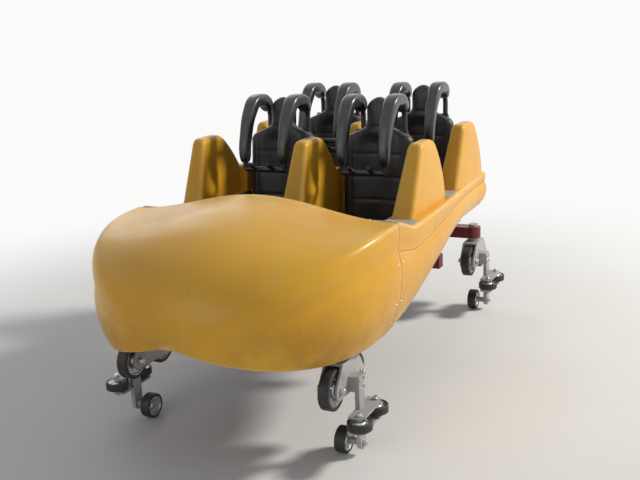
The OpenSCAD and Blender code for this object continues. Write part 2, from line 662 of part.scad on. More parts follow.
// Wheel carrier about its own middle on the left rail
module carrier_left() {
    end = run_off + cheek_end;
    foot = end - cheek_chamfer;
    cheek = [[-end, run_z - cheek_half], [-foot, run_z - cheek_low], [foot, run_z - cheek_low],
        [end, run_z - cheek_half], [end, run_z + cheek_half], [cheek_shoulder, yoke_z + yoke_t],
        [-cheek_shoulder, yoke_z + yoke_t], [-end, run_z + cheek_half]];
    inner = rail_x - cheek_gap - plate_t;
    outer = rail_x + cheek_gap;
    fork_corner = guide_x + fork_edge - cheek_chamfer;
    fork = [[arm_in, -guide_off - fork_root], [fork_corner, -guide_off - guide_boss_r],
        [guide_x + fork_edge, -guide_off], [guide_x + fork_edge, guide_off],
        [fork_corner, guide_off + guide_boss_r], [arm_in, guide_off + fork_root]];
    side_plate(inner, inner + plate_t, cheek);
    side_plate(outer, outer + plate_t, cheek);
    block(inner, outer + plate_t, -cheek_shoulder, cheek_shoulder, yoke_z, yoke_z + yoke_t);
    for (s = sides) x_rod(inner - pin_proud, outer + plate_t + pin_proud, s * run_off, run_z, run_pin_r);
    // King pin, its collar under the beam and its nut above: height of the foot, radius, length
    for (c = [[yoke_z + 1, king_r, beam_z + beam_h + king_nut_t - yoke_z - 1],
              [yoke_z + 1, king_collar_r, beam_z - seat_gap - yoke_z - 1],
              [beam_z + beam_h + seat_gap, king_nut_r, king_nut_t]])
        translate([rail_x, 0, c[0]]) cylinder(r = c[1], h = c[2], $fn = 48);
    block(outer, arm_in + arm_t, -arm_half, arm_half, run_z - link_low, run_z + link_high);
    block(arm_in, arm_in + arm_t, -arm_half, arm_half, upstop_r, run_z + link_high);
    x_rod(arm_in, arm_in + arm_t, 0, upstop_r, arm_half);
    x_rod(rail_x - upstop_w / 2 - pin_proud, arm_in + arm_t + pin_proud, 0, upstop_r, upstop_pin_r);
    for (z = [rail_z + fork_gap, rail_z - fork_gap - plate_t])
        translate([0, 0, z]) linear_extrude(plate_t) polygon(fork);
    for (s = sides) translate([guide_x, s * guide_off, rail_z - fork_gap - plate_t - pin_proud])
        cylinder(r = guide_pin_r, h = 2 * (fork_gap + plate_t + pin_proud), $fn = 48);
}

module carrier(corner) {
    color("silver") translate([0, corner[2], 0]) mirror([corner[1] < 0 ? 1 : 0, 0, 0]) carrier_left();
}

// Wheel about its own middle, axis along Z: tyre with a rounded tread on a dished hub
module wheel_body(r, w, bore) {
    edge = 8;
    step = 2;
    land = bore + 14;
    rim = r * 0.8;
    dish = w * 0.14;
    half = [[bore, w / 2 - step], [land, w / 2 - step], [land + 4, w / 2 - dish], [rim - edge, w / 2 - dish],
        [rim, w / 2 - step], [r - edge, w / 2], [r, w / 2 - edge]];
    rotate_extrude($fn = 64)
        polygon(concat([for (p = half) [p[0], -p[1]]], [for (i = [len(half) - 1 : -1 : 0]) half[i]]));
}

module wheel(corner, w) {
    along = corner[2];
    color("dimgray") if (w[1] == "run")
        translate([corner[1] * rail_x, along + w[2] * run_off, run_z]) rotate([0, 90, 0])
            wheel_body(run_r, run_w, run_pin_r + run_gap);
    else if (w[1] == "guide")
        translate([corner[1] * guide_x, along + w[2] * guide_off, rail_z])
            wheel_body(guide_r, guide_w, guide_pin_r + run_gap);
    else
        translate([corner[1] * rail_x, along, upstop_r]) rotate([0, 90, 0])
            wheel_body(upstop_r, upstop_w, upstop_pin_r + run_gap);
}

chassis_frame();
axle_beam(front_axle_y);  // front_axle
axle_beam(rear_axle_y);  // rear_axle
drawbar();
lift_dogs();
nose_cowl();
side_panel(1);  // side_panel_left
side_panel(-1);  // side_panel_right
sill(1);  // sill_left
sill(-1);  // sill_right
rear_panel();
floor_tub();
dash_panel();
entry_treads();
for (row = [0, 1]) let (name = ["front", "rear"][row]) {
    seat_shell(row);
    restraint_mount(row);
}
for (s = SEATS) {
    seat_pad(s);
    restraint_frame(s);
    restraint_collar(s);
}
for (c = CORNERS) {
    carrier(c);
    for (w = WHEELS) wheel(c, w);
}
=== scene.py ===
"""Looks of the roller coaster car: finishes, moulded skins, upholstery and small hardware."""

import cmath
import json
import math

import bmesh
import bpy
import numpy as np
from mathutils import Matrix, Vector


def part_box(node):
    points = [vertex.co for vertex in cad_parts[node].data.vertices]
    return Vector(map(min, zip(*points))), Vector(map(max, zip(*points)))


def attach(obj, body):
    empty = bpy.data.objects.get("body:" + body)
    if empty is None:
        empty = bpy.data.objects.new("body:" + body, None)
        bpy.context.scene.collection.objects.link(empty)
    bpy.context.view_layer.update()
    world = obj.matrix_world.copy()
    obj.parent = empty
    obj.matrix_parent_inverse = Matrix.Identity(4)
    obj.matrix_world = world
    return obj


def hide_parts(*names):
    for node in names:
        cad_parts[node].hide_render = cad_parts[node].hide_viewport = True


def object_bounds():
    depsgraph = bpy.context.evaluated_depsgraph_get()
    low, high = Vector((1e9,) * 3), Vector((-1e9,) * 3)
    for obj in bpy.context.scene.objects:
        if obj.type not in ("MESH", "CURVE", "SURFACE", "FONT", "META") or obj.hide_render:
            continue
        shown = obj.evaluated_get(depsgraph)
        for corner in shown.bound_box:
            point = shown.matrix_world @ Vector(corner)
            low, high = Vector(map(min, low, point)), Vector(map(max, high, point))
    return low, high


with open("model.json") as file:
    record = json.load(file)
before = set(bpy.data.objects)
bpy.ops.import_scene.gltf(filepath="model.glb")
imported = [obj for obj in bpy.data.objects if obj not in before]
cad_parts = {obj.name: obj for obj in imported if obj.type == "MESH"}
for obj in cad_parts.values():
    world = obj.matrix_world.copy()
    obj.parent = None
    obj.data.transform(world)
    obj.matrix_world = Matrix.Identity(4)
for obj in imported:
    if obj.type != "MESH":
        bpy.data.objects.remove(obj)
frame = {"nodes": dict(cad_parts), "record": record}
CAD_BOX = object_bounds()
NODES = frame["nodes"]

# Driving sizes, as in the part's source: metres, with powers for the curves and degrees for the angles
FIN_OUT, RIM_FLARE, SILL_Z, SILL_RISE = 0.750, 0.060, 1.075, 0.070
RIM_R, LOW_W, LOW_REAR_Z, LOW_FRONT_Z = 0.020, 0.705, 0.845, 0.530
BELLY, REAR_BELLY, COVE, SKIN, SILL_IN = 0.062, 0.45, 0.016, 0.014, 0.600
TUB_REAR_Y, LIP_Y, NOSE_LEN, CREST_Z, TIP_Z = 1.105, -0.765, 0.918, 1.255, 0.715
NOSE_POWER, NOSE_ROUND, DOME_POWER, DOME_ANGLE = 2.3, 0.130, 2.2, 55
RISE_Y, LOW_Y, BLEND_LEN = -0.480, -0.800, 1.5
ROW_PITCH, FIN_Y, FIN_H, FIN_TOP = 0.820, -0.225, 0.390, 0.205
FIN_LEAD, FIN_TRAIL, FIN_BASE_T, FIN_TOP_T = 0.175, 0.225, 0.130, 0.085
DIVIDER_T, WALL_H, WALL_T, FLOOR_T = 0.140, 0.165, 0.016, 0.010
SEAT_X, SEAT_W, BASE_Z, CUSHION_Z, CUSHION_FRONT = 0.32985, 0.505, 0.845, 0.930, -0.290
BACK_FRONT, BACK_T, LEAN, HEAD_W, HEAD_Z, SHOULDER_Z = 0.095, 0.085, 0.10, 0.082, 1.690, 1.500
PIVOT = (0.277, 1.395)
ARM_X, ARM_R, ARM_BEND, SHAFT_R, BARREL_R = 0.136, 0.017, 0.062, 0.016, 0.025
COLLAR_W, COLLAR_LOW_W, COLLAR_T = 0.088, 0.062, 0.072
BARREL_HALF = ARM_X + 0.021
# Corners of the restraint's bent tube, along the car and up, from its pivot to its lower end
ARM_PATH = [PIVOT, (0.285, 1.572), (0.205, 1.668), (0.070, 1.668), (-0.015, 1.560), (-0.072, 1.395),
            (-0.072, 1.262)]
WING_EDGE, WING_DEPTH, FIN_CORNER = 0.060, 0.070, 0.028
GRIP_X, GRIP_LEAN = 0.062, 62
DASH_Y, WELL_Y, FLOOR_Z, REAR_FLOOR_Z = LIP_Y - 0.140, 0.238, 0.600, 0.650
SEAT_GAP = 0.0003
SPINE_TOP, SPINE_H, SPINE_HALF, CROSS_HALF = 0.5447, 0.112, 0.080, 0.040
POST_X, POST_HALF, BRAKE_T, BRAKE_HALF = 0.330, 0.030, 0.012, 0.6
# Members across the spine, each by its place along the car and its top's height, and the seat posts' places
MEMBERS = [(-0.745, 0.5897), (-0.060, 0.5447), (0.388, 0.6397), (0.800, 0.5447)]
POSTS = (-0.060, 0.800)

# Running gear: the running wheel's half width and side clearance, the carriers' plates, how far pins stand
# proud, the C arm's outer face from the running wheel's middle, and half of a guide wheel's pin
RUN_HALF, MOVE_GAP, PLATE_T, PIN_PROUD, ARM_OUT, GUIDE_PIN_HALF = 0.030, 0.010, 0.012, 0.006, 0.108, 0.0525
BORES = {"run": 0.0201, "guide": 0.0141, "upstop": 0.0181}
# Wheels: the tyre's share of the radius, the dish's share of the width, and its edges from bore and rim
TYRE_SHARE, DISH_SHARE, HUB_FOOT, RIM_LEDGE = 0.2, 0.17, 0.018, 0.010

ROWS = [("front", 0.0), ("rear", ROW_PITCH)]
SIDES = [("left", 1), ("right", -1)]
SEATS = [(f"{row}_{side}", shift, sign) for row, shift in ROWS for side, sign in SIDES]
WHEEL_KINDS = ["run_wheel_a", "run_wheel_b", "guide_wheel_a", "guide_wheel_b", "upstop_wheel"]
CORNERS = [name for name, _, _ in SEATS]

# The camera stands where the photographer stood and turns to take in the whole car; the bank is the track's
CAMERA_AT = Vector((2.348, -4.850, 2.190))
CAMERA_TARGET = Vector((0.04, -0.10, 0.84))
CAMERA_LENS = 50
CAMERA_BANK = 2.8

# Radius at which a turned profile ends at its axis
CORE_R = 0.0001
# Outward bend, in 1/m, at which an edge starts to show wear and is fully worn
WEAR_FROM, WEAR_FULL = 14, 64


def smooth(t):
    c = np.clip(t, 0, 1)
    return c * c * (3 - 2 * c)


def mix(a, b, t):
    return a + (b - a) * t


def sind(a):
    return math.sin(math.radians(a))


def cosd(a):
    return math.cos(math.radians(a))


# Mesh helpers


def link(obj):
    bpy.context.scene.collection.objects.link(obj)
    return obj


def shade(mesh, angle=35):
    mesh.shade_smooth()
    mesh.set_sharp_from_angle(angle=math.radians(angle))


def values_of(rows, key, width, kind=float):
    values = np.empty(len(rows) * width, dtype=kind)
    rows.foreach_get(key, values)
    return values.reshape(-1, width)


def store_wear(mesh):
    """Keeps at each point how sharply the surface bends outwards on both sides, for wear along edges."""
    at, normal = values_of(mesh.vertices, "co", 3), values_of(mesh.vertex_normals, "vector", 3)
    ends = values_of(mesh.edges, "vertices", 2, np.int64)
    here, there = np.concatenate([ends, ends[:, ::-1]]).T
    step = at[here] - at[there]
    bend = 2 * (normal[here] * step).sum(1) / np.maximum((step ** 2).sum(1), 1e-8)
    order = np.lexsort((bend, here))
    here, bend = here[order], bend[order]
    last = np.searchsorted(here, np.arange(len(at)), side="right") - 1
    wear = np.clip((bend[np.maximum(last - 1, 0)] - WEAR_FROM) / (WEAR_FULL - WEAR_FROM), 0, 1)
    mesh.attributes.new("edge_wear", "FLOAT", "POINT").data.foreach_set("value", wear.astype(np.float32))


def new_object(name, verts, faces, mats, angle=35, body=None, slots=None):
    mesh = bpy.data.meshes.new(name)
    mesh.from_pydata([tuple(v) for v in verts], [], faces)
    for m in mats if isinstance(mats, (list, tuple)) else [mats]:
        mesh.materials.append(m)
    if slots is not None:
        mesh.polygons.foreach_set("material_index", slots)
    bm = bmesh.new()
    bm.from_mesh(mesh)
    bmesh.ops.remove_doubles(bm, verts=bm.verts, dist=1e-6)
    bmesh.ops.recalc_face_normals(bm, faces=bm.faces)
    bm.to_mesh(mesh)
    bm.free()
    store_wear(mesh)
    shade(mesh, angle)
    obj = link(bpy.data.objects.new(name, mesh))
    if body:
        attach(obj, body)
    return obj


def turned(axis):
    """Rotation that takes Z to the given axis."""
    return Vector((0, 0, 1)).rotation_difference(Vector(axis).normalized()).to_matrix()


class Build:
    """Collects the closed forms of one piece."""

    def __init__(self):
        self.verts, self.faces, self.slots = [], [], []

    def loft(self, rings, slot=0, closed=False, caps=None):
        """Rings of equal count; closed joins the last to the first, otherwise caps or flat ends close it."""
        base, n, m = len(self.verts), len(rings[0]), len(rings)
        faces = []
        for i in range(m if closed else m - 1):
            k = (i + 1) % m
            for j in range(n):
                q = (j + 1) % n
                faces.append((i * n + j, i * n + q, k * n + q, k * n + j))
        if not closed:
            faces += caps or [tuple(range(n)), tuple(range((m - 1) * n, m * n))]
        self.verts += [tuple(p) for r in rings for p in r]
        self.faces += [tuple(base + i for i in f) for f in faces]
        self.slots += [slot] * len(faces)

    def revolve(self, profile, centre, axis, slot=0, steps=48):
        """Closed profile of (radius, along) points turned about axis through centre."""
        turn, centre = turned(axis), Vector(centre)
        rings = []
        for s in range(steps):
            a = 2 * math.pi * s / steps
            rings.append([centre + turn @ Vector((r * math.cos(a), r * math.sin(a), h)) for r, h in profile])
        self.loft(rings, slot, closed=True)

    def rod(self, a, b, radius, slot=0, steps=24, bevel=0.002):
        a, b = Vector(a), Vector(b)
        length = (b - a).length
        bevel = min(bevel, radius * 0.4, length * 0.3)
        profile = [(CORE_R, 0), (radius - bevel, 0), (radius, bevel), (radius, length - bevel),
                   (radius - bevel, length), (CORE_R, length)]
        self.revolve(profile, a, b - a, slot, steps)

    def bolt(self, at, axis, size, slot=0):
        """Hex head, size being its corner radius, on a washer that stands on the given point."""
        at, axis = Vector(at), Vector(axis).normalized()
        turn, washer, head, crown_h, crown_share = turned(axis), 0.18, 0.62, 0.74, 0.88
        self.rod(at - axis * 0.001, at + axis * size * washer, size * 1.25, slot, 20, size * 0.08)
        foot = size * washer
        rings = []
        for h, r in ((foot, size), (foot + size * head, size), (foot + size * crown_h, size * crown_share)):
            rings.append([at + turn @ Vector((r * cosd(60 * i), r * sind(60 * i), h)) for i in range(6)])
        self.loft(rings, slot)

    def dome(self, at, axis, radius, slot=0):
        """Low round head, such as a body fastener."""
        rim = radius * 0.15
        profile = [(CORE_R, -0.001), (radius, -0.001), (radius, rim)]
        profile += [(radius * cosd(a) * 0.97, rim + radius * 0.35 * sind(a)) for a in (25, 50, 72)]
        self.revolve(profile + [(CORE_R, radius * 0.5)], at, axis, slot, 16)

    def piece(self, name, mats, body, angle, slot, node=None):
        """Makes the piece, which rides on the body and stands for the node where one is given."""
        piece = new_object(name, self.verts, self.faces, mats, angle, body, self.slots)
        if node:
            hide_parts(node)
        return piece


def round_rect(x0, x1, y0, y1, r, z, steps=3):
    corners = [(x1 - r, y1 - r, 0), (x0 + r, y1 - r, 90), (x0 + r, y0 + r, 180), (x1 - r, y0 + r, 270)]
    return [(cx + r * cosd(q + 90 * i / steps), cy + r * sind(q + 90 * i / steps), z)
            for cx, cy, q in corners for i in range(steps + 1)]


def mirrored(half, middle=()):
    """Profile of (radius, along) points on one side, on the middle, and mirrored on the other side."""
    return [*half, *middle] + [(r, -h) for r, h in reversed(half)]


def both_sides(half):
    """Line of points from one side to the car's middle, with its mirror image on the other side."""
    return half + [(-x, y, z) for x, y, z in half[-2::-1]]


# Materials


class Nodes:
    """Node tree whose new nodes are made with their settings and inputs."""

    def __init__(self, tree):
        self.tree = tree

    def plug(self, socket, value):
        """Wires an output to the socket, or sets a plain number or colour on the socket itself."""
        if isinstance(value, bpy.types.NodeSocket):
            self.tree.links.new(value, socket)
        elif isinstance(value, tuple):
            socket.default_value = (*value, 1)[:len(socket.default_value)]
        else:
            socket.default_value = value

    def node(self, kind, inputs=None, **values):
        n = self.tree.nodes.new(kind)
        for key, value in values.items():
            setattr(n, key, value)
        for key, value in (inputs or {}).items():
            self.plug(n.inputs[key], value)
        return n

    def math(self, op, a, b):
        return self.node("ShaderNodeMath", {0: a, 1: b}, operation=op).outputs["Value"]

    def times(self, a, b):
        return self.math("MULTIPLY", a, b)

    def seen_directly(self):
        """One for rays from the camera, off a gloss or through glass, which all see the surround."""
        path = self.node("ShaderNodeLightPath").outputs
        either = self.math("MAXIMUM", path["Is Camera Ray"], path["Is Glossy Ray"])
        return self.math("MAXIMUM", either, path["Is Transmission Ray"])

    def mix_by(self, share, first, second, output):
        """Mixes two shaders into the surface of the tree's output node."""
        inputs = {"Fac": share, 1: first.outputs[0], 2: second.outputs[0]}
        both = self.node("ShaderNodeMixShader", inputs)
        self.plug(self.tree.nodes[output].inputs["Surface"], both.outputs["Shader"])


class Graph(Nodes):
    """Material with its Principled shader and each object's own coordinates."""

    def __init__(self, name):
        self.mat = bpy.data.materials.new(name)
        self.mat.use_nodes = True
        super().__init__(self.mat.node_tree)
        self.bsdf = self.tree.nodes["Principled BSDF"]
        self.coords = self.node("ShaderNodeTexCoord").outputs["Object"]

    def noise(self, scale, detail=4.0, rough=0.55, stretch=None):
        at = self.coords
        if stretch:
            at = self.node("ShaderNodeMapping", {"Vector": at, "Scale": stretch}).outputs["Vector"]
        inputs = {"Vector": at, "Scale": scale, "Detail": detail, "Roughness": rough}
        return self.node("ShaderNodeTexNoise", inputs).outputs["Fac"]

    def cells(self, scale):
        return self.node("ShaderNodeTexVoronoi", {"Vector": self.coords, "Scale": scale}).outputs["Distance"]

    def span(self, value, low, high, to_low=0.0, to_high=1.0):
        inputs = {"Value": value, "From Min": low, "From Max": high, "To Min": to_low, "To Max": to_high}
        return self.node("ShaderNodeMapRange", inputs, clamp=True).outputs["Result"]

    def facing_up(self):
        normal = self.coords.node.outputs["Normal"]
        return self.node("ShaderNodeSeparateXYZ", {"Vector": normal}).outputs["Z"]

    def height(self, low, high):
        return self.span(self.node("ShaderNodeSeparateXYZ", {"Vector": self.coords}).outputs["Z"], low, high)

    def blend(self, fac, a, b):
        return self.node("ShaderNodeMix", {"Factor": fac, 6: a, 7: b}, data_type="RGBA").outputs[2]

    def tint(self, share, amount, colour):
        """Lays a colour over the tone so far, by the product of share and amount."""
        self.tone = self.blend(self.times(share, amount), self.tone, colour)

    def bump(self, heights, strength=0.3):
        """Chains bumps given as (height, distance in metres)."""
        inputs = {"Strength": strength}
        for value, distance in heights:
            inputs.update({"Distance": distance, "Height": value})
            inputs["Normal"] = self.node("ShaderNodeBump", inputs).outputs["Normal"]
        self.plug(self.bsdf.inputs["Normal"], inputs["Normal"])

    def set(self, **values):
        """Plugs the tone so far and the given values into the shader."""
        for key, value in {"Base_Color": self.tone, **values}.items():
            self.plug(self.bsdf.inputs[key.replace("_", " ")], value)


# Colours of the gelcoat, its painted top light, and what dust, use and grime have made of it
AMBER_DEEP, AMBER_PALE, PAINTED_TOP_LIGHT = (0.72, 0.350, 0.018), (0.82, 0.445, 0.036), (0.85, 0.52, 0.10)
DUSTY, SCUFFED, GRIMY = (0.58, 0.36, 0.12), (0.86, 0.64, 0.28), (0.15, 0.080, 0.028)
RUBBED, CHIPPED = (0.88, 0.66, 0.33), (0.20, 0.085, 0.030)


def gelcoat():
    """Amber gelcoat: painted top light where it faces up, dusty, scuffed, worn at its edges, chipped, grimy
    below.
    """
    g = Graph("amber_gelcoat")
    g.tone = g.blend(g.span(g.noise(1.7, 3), 0.35, 0.68), AMBER_DEEP, AMBER_PALE)
    # Painted top light: faces that point up are made paler, as if lit from above
    g.tint(g.span(g.facing_up(), 0.45, 0.95), g.span(g.noise(4, 5, 0.6), 0.25, 0.75, 0.08, 0.45), PAINTED_TOP_LIGHT)
    g.tint(g.span(g.noise(7, 6, 0.62), 0.50, 0.82), 0.24, DUSTY)
    # The scuffs are stretched along the car, and the grime is on its lower edges
    scuff = g.span(g.noise(16, 5, 0.7, (1.0, 0.10, 3.2)), 0.64, 0.74)
    g.tint(scuff, 0.34, SCUFFED)
    grime = g.times(g.math("SUBTRACT", 1.0, g.height(0.50, 0.95)), g.span(g.noise(5, 6, 0.65), 0.34, 0.70))
    g.tint(grime, 0.58, GRIMY)
    edge = g.node("ShaderNodeAttribute", attribute_name="edge_wear").outputs["Fac"]
    rubbed = g.times(edge, g.span(g.noise(14, 6, 0.7), 0.34, 0.66, 0.15, 1.0))
    g.tint(rubbed, 0.75, RUBBED)
    chip = g.span(g.noise(58, 5, 0.7), 0.735, 0.752)
    g.tint(chip, 0.75, CHIPPED)
    rough = g.span(g.noise(11, 5, 0.6), 0.3, 0.75, 0.26, 0.42)
    matt = g.times(g.math("MAXIMUM", scuff, rubbed), 0.15)
    g.set(Roughness=g.math("ADD", rough, matt), Coat_Weight=0.10,
          Coat_Roughness=0.14, Specular_IOR_Level=0.26)
    g.bump([(g.noise(2.6, 1), 0.0008), (g.noise(38, 4), 0.0002), (chip, -0.0004)], 0.35)
    return g.mat


def enamel(name, base, dark, rough_low, rough_high, chips=0.10):
    """Brushed or sprayed paint on steel, with grime in patches and a few chips."""
    g = Graph(name)
    g.tone = g.blend(g.span(g.noise(4, 5, 0.6), 0.35, 0.7), base, dark)
    g.tint(g.span(g.noise(9, 7, 0.7), 0.50, 0.72), 0.55, tuple(c * 0.30 + 0.004 for c in dark))
    chip = g.span(g.noise(46, 6, 0.75), 0.735 - chips * 0.2, 0.75)
    g.tint(chip, 0.8, (0.16, 0.11, 0.085))
    g.set(Roughness=g.span(g.noise(14, 5), 0.3, 0.75, rough_low, rough_high),
          Specular_IOR_Level=0.5)
    g.bump([(g.noise(90, 3), 0.0003), (chip, 0.0003)], 0.35)
    return g.mat


def skinned_foam(name, smooth_rough, worn_rough, coat=0.0):
    """Integral-skin foam: near black, finely grained, with rubbed patches."""
    g = Graph(name)
    g.tone = g.blend(g.span(g.noise(6, 4), 0.3, 0.7), (0.013, 0.013, 0.015), (0.028, 0.028, 0.031))
    g.tint(g.span(g.noise(19, 6, 0.7), 0.56, 0.75), 0.35, (0.065, 0.062, 0.060))
    grain = g.cells(430)
    g.set(Roughness=g.span(g.noise(12, 5), 0.3, 0.7, smooth_rough, worn_rough),
          Specular_IOR_Level=0.42, Sheen_Weight=0.06, Sheen_Roughness=0.45, Coat_Weight=coat,
          Coat_Roughness=0.15)
    g.bump([(g.noise(14, 3), 0.0012), (grain, 0.0005)], 0.45)
    return g.mat


def rubber(name, base, rough=0.75):
    g = Graph(name)
    g.tone = g.blend(g.span(g.noise(20, 5), 0.3, 0.7), base, tuple(c * 1.6 + 0.004 for c in base))
    g.set(Roughness=g.span(g.noise(30, 4), 0.3, 0.7, rough - 0.1, rough + 0.08),
          Specular_IOR_Level=0.35)
    g.bump([(g.noise(160, 4), 0.0004)], 0.5)
    return g.mat


def grit():
    """Pale anti-slip coat with coarse sand and trodden dirt."""
    g = Graph("grey_tread")
    sand = g.cells(520)
    g.tone = g.blend(g.span(sand, 0.1, 0.55), (0.60, 0.60, 0.58), (0.38, 0.38, 0.37))
    g.tint(g.span(g.noise(13, 6, 0.7), 0.50, 0.78), 0.45, (0.19, 0.18, 0.165))
    g.set(Roughness=g.span(g.noise(40, 4), 0.3, 0.7, 0.78, 0.95), Specular_IOR_Level=0.3)
    g.bump([(sand, 0.0012), (g.noise(300, 4), 0.0006)], 0.8)
    return g.mat


def bare_steel(name, tone_a, tone_b, rough=0.35):
    g = Graph(name)
    g.tone = g.blend(g.span(g.noise(30, 5), 0.3, 0.7), tone_a, tone_b)
    uneven = g.span(g.noise(22, 6, 0.65), 0.3, 0.75, rough - 0.1, rough + 0.15)
    g.set(Metallic=1.0, Roughness=uneven)
    g.bump([(g.noise(120, 4), 0.0002)], 0.3)
    return g.mat


AMBER = gelcoat()
MAROON = enamel("maroon_paint", (0.185, 0.016, 0.022), (0.110, 0.010, 0.014), 0.30, 0.48, 0.12)
BLACK_STEEL = enamel("black_steel", (0.026, 0.026, 0.028), (0.014, 0.014, 0.016), 0.34, 0.52, 0.05)
GREY_METAL = enamel("grey_metal", (0.46, 0.46, 0.45), (0.33, 0.33, 0.32), 0.36, 0.55, 0.14)
DARK_MOULD = enamel("dark_moulding", (0.050, 0.050, 0.055), (0.034, 0.034, 0.038), 0.50, 0.70, 0.0)
PAD = skinned_foam("black_pad", 0.30, 0.46)
COLLAR_SKIN = skinned_foam("collar_skin", 0.24, 0.38, 0.35)
TREAD = grit()
TYRE = rubber("wheel_tyre", (0.030, 0.028, 0.026), 0.55)
GRIP = rubber("grip_rubber", (0.014, 0.014, 0.015), 0.60)
TRIM = rubber("seam_rubber", (0.012, 0.012, 0.013), 0.62)
STEEL = bare_steel("zinc_steel", (0.60, 0.60, 0.61), (0.42, 0.42, 0.43))
HUB = bare_steel("hub_metal", (0.55, 0.55, 0.56), (0.36, 0.36, 0.37), 0.42)
SLOT_MATERIAL = {"amber_gelcoat": AMBER, "maroon_paint": MAROON, "black_steel": BLACK_STEEL, "black_pad": PAD,
                 "dark_moulding": DARK_MOULD, "grey_tread": TREAD, "grey_metal": GREY_METAL,
                 "wheel_tyre": TYRE}


def dress_cad_nodes(bevel=0.003):
    """Every CAD node gets its slot's material and softened edges."""
    slots = {s["node"]: s["material_slot"] for s in frame["record"]["subparts"]}
    for name, obj in NODES.items():
        obj.data.materials.clear()
        obj.data.materials.append(SLOT_MATERIAL[slots[name]])
        shade(obj.data, 30)
        width = obj.modifiers.new("edges", "BEVEL")
        width.width, width.segments, width.limit_method = bevel, 2, "ANGLE"
        width.angle_limit = math.radians(50)
        width.harden_normals = False


# Body outline, the same rules as the part's source


def rim_z(y):
    return SILL_Z + SILL_RISE * smooth((RISE_Y - y) / (RISE_Y - LIP_Y))


def rim_w(y):
    return FIN_OUT + RIM_FLARE * smooth((TUB_REAR_Y - y) / BLEND_LEN)


def low_z(y):
    return mix(LOW_FRONT_Z, LOW_REAR_Z, smooth((y - LOW_Y) / BLEND_LEN))


def belly_at(y):
    return BELLY * mix(REAR_BELLY, 1, smooth((TUB_REAR_Y - y) / BLEND_LEN))


def side_x(y, u):
    return (mix(LOW_W, rim_w(y), u) + belly_at(y) * math.sin(math.pi * u ** 0.75)
            - COVE * math.exp(-((u - 0.8) / 0.1) ** 2))


def side_point(y, u, inset=0.0, r=RIM_R):
    return side_x(y, u) - inset, mix(low_z(y), rim_z(y) - r, u)


def side_curve(y, inset, r=RIM_R, steps=36):
    return [side_point(y, i / steps, inset, r) for i in range(steps + 1)]


def rim_curve(y, inset, r=RIM_R, top_angle=90, steps=10):
    return [(side_x(y, 1) - r + (r - inset) * cosd(top_angle * i / steps),
             rim_z(y) - r + (r - inset) * sind(top_angle * i / steps)) for i in range(1, steps + 1)]


# Share of the side's height where the lower panel meets the sill, and the eased corners of that seam
SEAM_U, SEAM_EASE = 7 / 9, 0.003


def panel_section(y):
    ease = SEAM_EASE / (rim_z(y) - RIM_R - low_z(y))
    x, z = side_point(y, SEAM_U)
    us = np.linspace(0, SEAM_U - ease, 29)
    outer = [side_point(y, u) for u in us] + [(x - 0.3 * SEAM_EASE, z - 0.3 * SEAM_EASE), (x - SEAM_EASE, z)]
    return outer + [(x - SKIN, z)] + [side_point(y, u, SKIN) for u in us[::-1]]


def sill_section(y):
    ease = SEAM_EASE / (rim_z(y) - RIM_R - low_z(y))
    x, z = side_point(y, SEAM_U)
    z += SEAT_GAP
    top, lip = rim_z(y), 0.004
    us = np.linspace(SEAM_U + ease, 1, 9)
    outer = [(x - SEAM_EASE, z), (x - 0.3 * SEAM_EASE, z + 0.3 * SEAM_EASE)] + [side_point(y, u) for u in us]
    shelf = [(SILL_IN + lip, top), (SILL_IN + 0.3 * lip, top - 0.3 * lip), (SILL_IN, top - lip),
             (SILL_IN, top - SKIN), (side_x(y, 1) - SKIN - 0.010, top - SKIN)]
    inner = [side_point(y, u, SKIN) for u in us[::-1]] + [(x - SKIN, z)]
    return outer + rim_curve(y, 0) + shelf + inner


def side_mouldings():
    ys = np.linspace(TUB_REAR_Y - SKIN - SEAT_GAP, LIP_Y + SEAT_GAP, 84)
    for name, sign in SIDES:
        for piece_name, node, section in ((f"side_skin_{name}", f"side_panel_{name}", panel_section),
                                          (f"sill_skin_{name}", f"sill_{name}", sill_section)):
            b = Build()
            b.loft([[(sign * x, y, z) for x, z in section(y)] for y in ys])
            b.piece(piece_name, AMBER, "car", 30, "amber_gelcoat", node)


def nose_k(phi):
    return cosd(phi) ** (2 / NOSE_POWER)


def nose_u(phi):
    return sind(phi) ** (2 / NOSE_POWER)


def dome_share(phi):
    return smooth(phi / DOME_ANGLE)


def crown(q, phi):
    return mix(cosd(90 * q) ** 2, 1 - q ** DOME_POWER, dome_share(phi))


CROWN_STEPS = 34


def nose_half(phi, inset):
    r = RIM_R + NOSE_ROUND * sind(phi) ** 1.5
    rise = DOME_POWER * dome_share(phi) * (CREST_Z - rim_z(LIP_Y)) / side_x(LIP_Y, 1)
    slope = math.degrees(math.atan(rise))
    points = side_curve(LIP_Y, inset, r) + rim_curve(LIP_Y, inset, r, 90 - slope)
    w, top = points[-1]
    return points + [(w * q, top + (CREST_Z - inset - top) * crown(q, phi))
                     for q in (1 - i / CROWN_STEPS for i in range(1, CROWN_STEPS + 1))]


def nose_ring(phi, inset):
    k, y = nose_k(phi), LIP_Y - (NOSE_LEN - inset) * nose_u(phi)
    return both_sides([(x * k, y, mix(TIP_Z, z, k)) for x, z in nose_half(phi, inset)])


def nose_cowl():
    """Cowl as a closed shell: outer and inner skins joined at the lip and the hem, each capped at the tip."""
    angles = np.concatenate([np.linspace(0, 84, 60), [85.5, 86.7, 87.5]])
    rings = [nose_ring(a, 0) + nose_ring(a, SKIN)[::-1] for a in angles]
    n, tip = len(rings[0]), (len(rings) - 1) * len(rings[0])
    half = n // 2
    caps = [(j, j + 1, n - 2 - j, n - 1 - j) for j in range(half - 1)]
    caps += [tuple(range(tip, tip + half)), tuple(range(tip + half, tip + n)),
             (tip, tip + half - 1, tip + half, tip + n - 1)]
    b = Build()
    b.loft(rings, caps=caps)
    b.piece("nose_skin", AMBER, "car", 40, "amber_gelcoat", "nose_cowl")


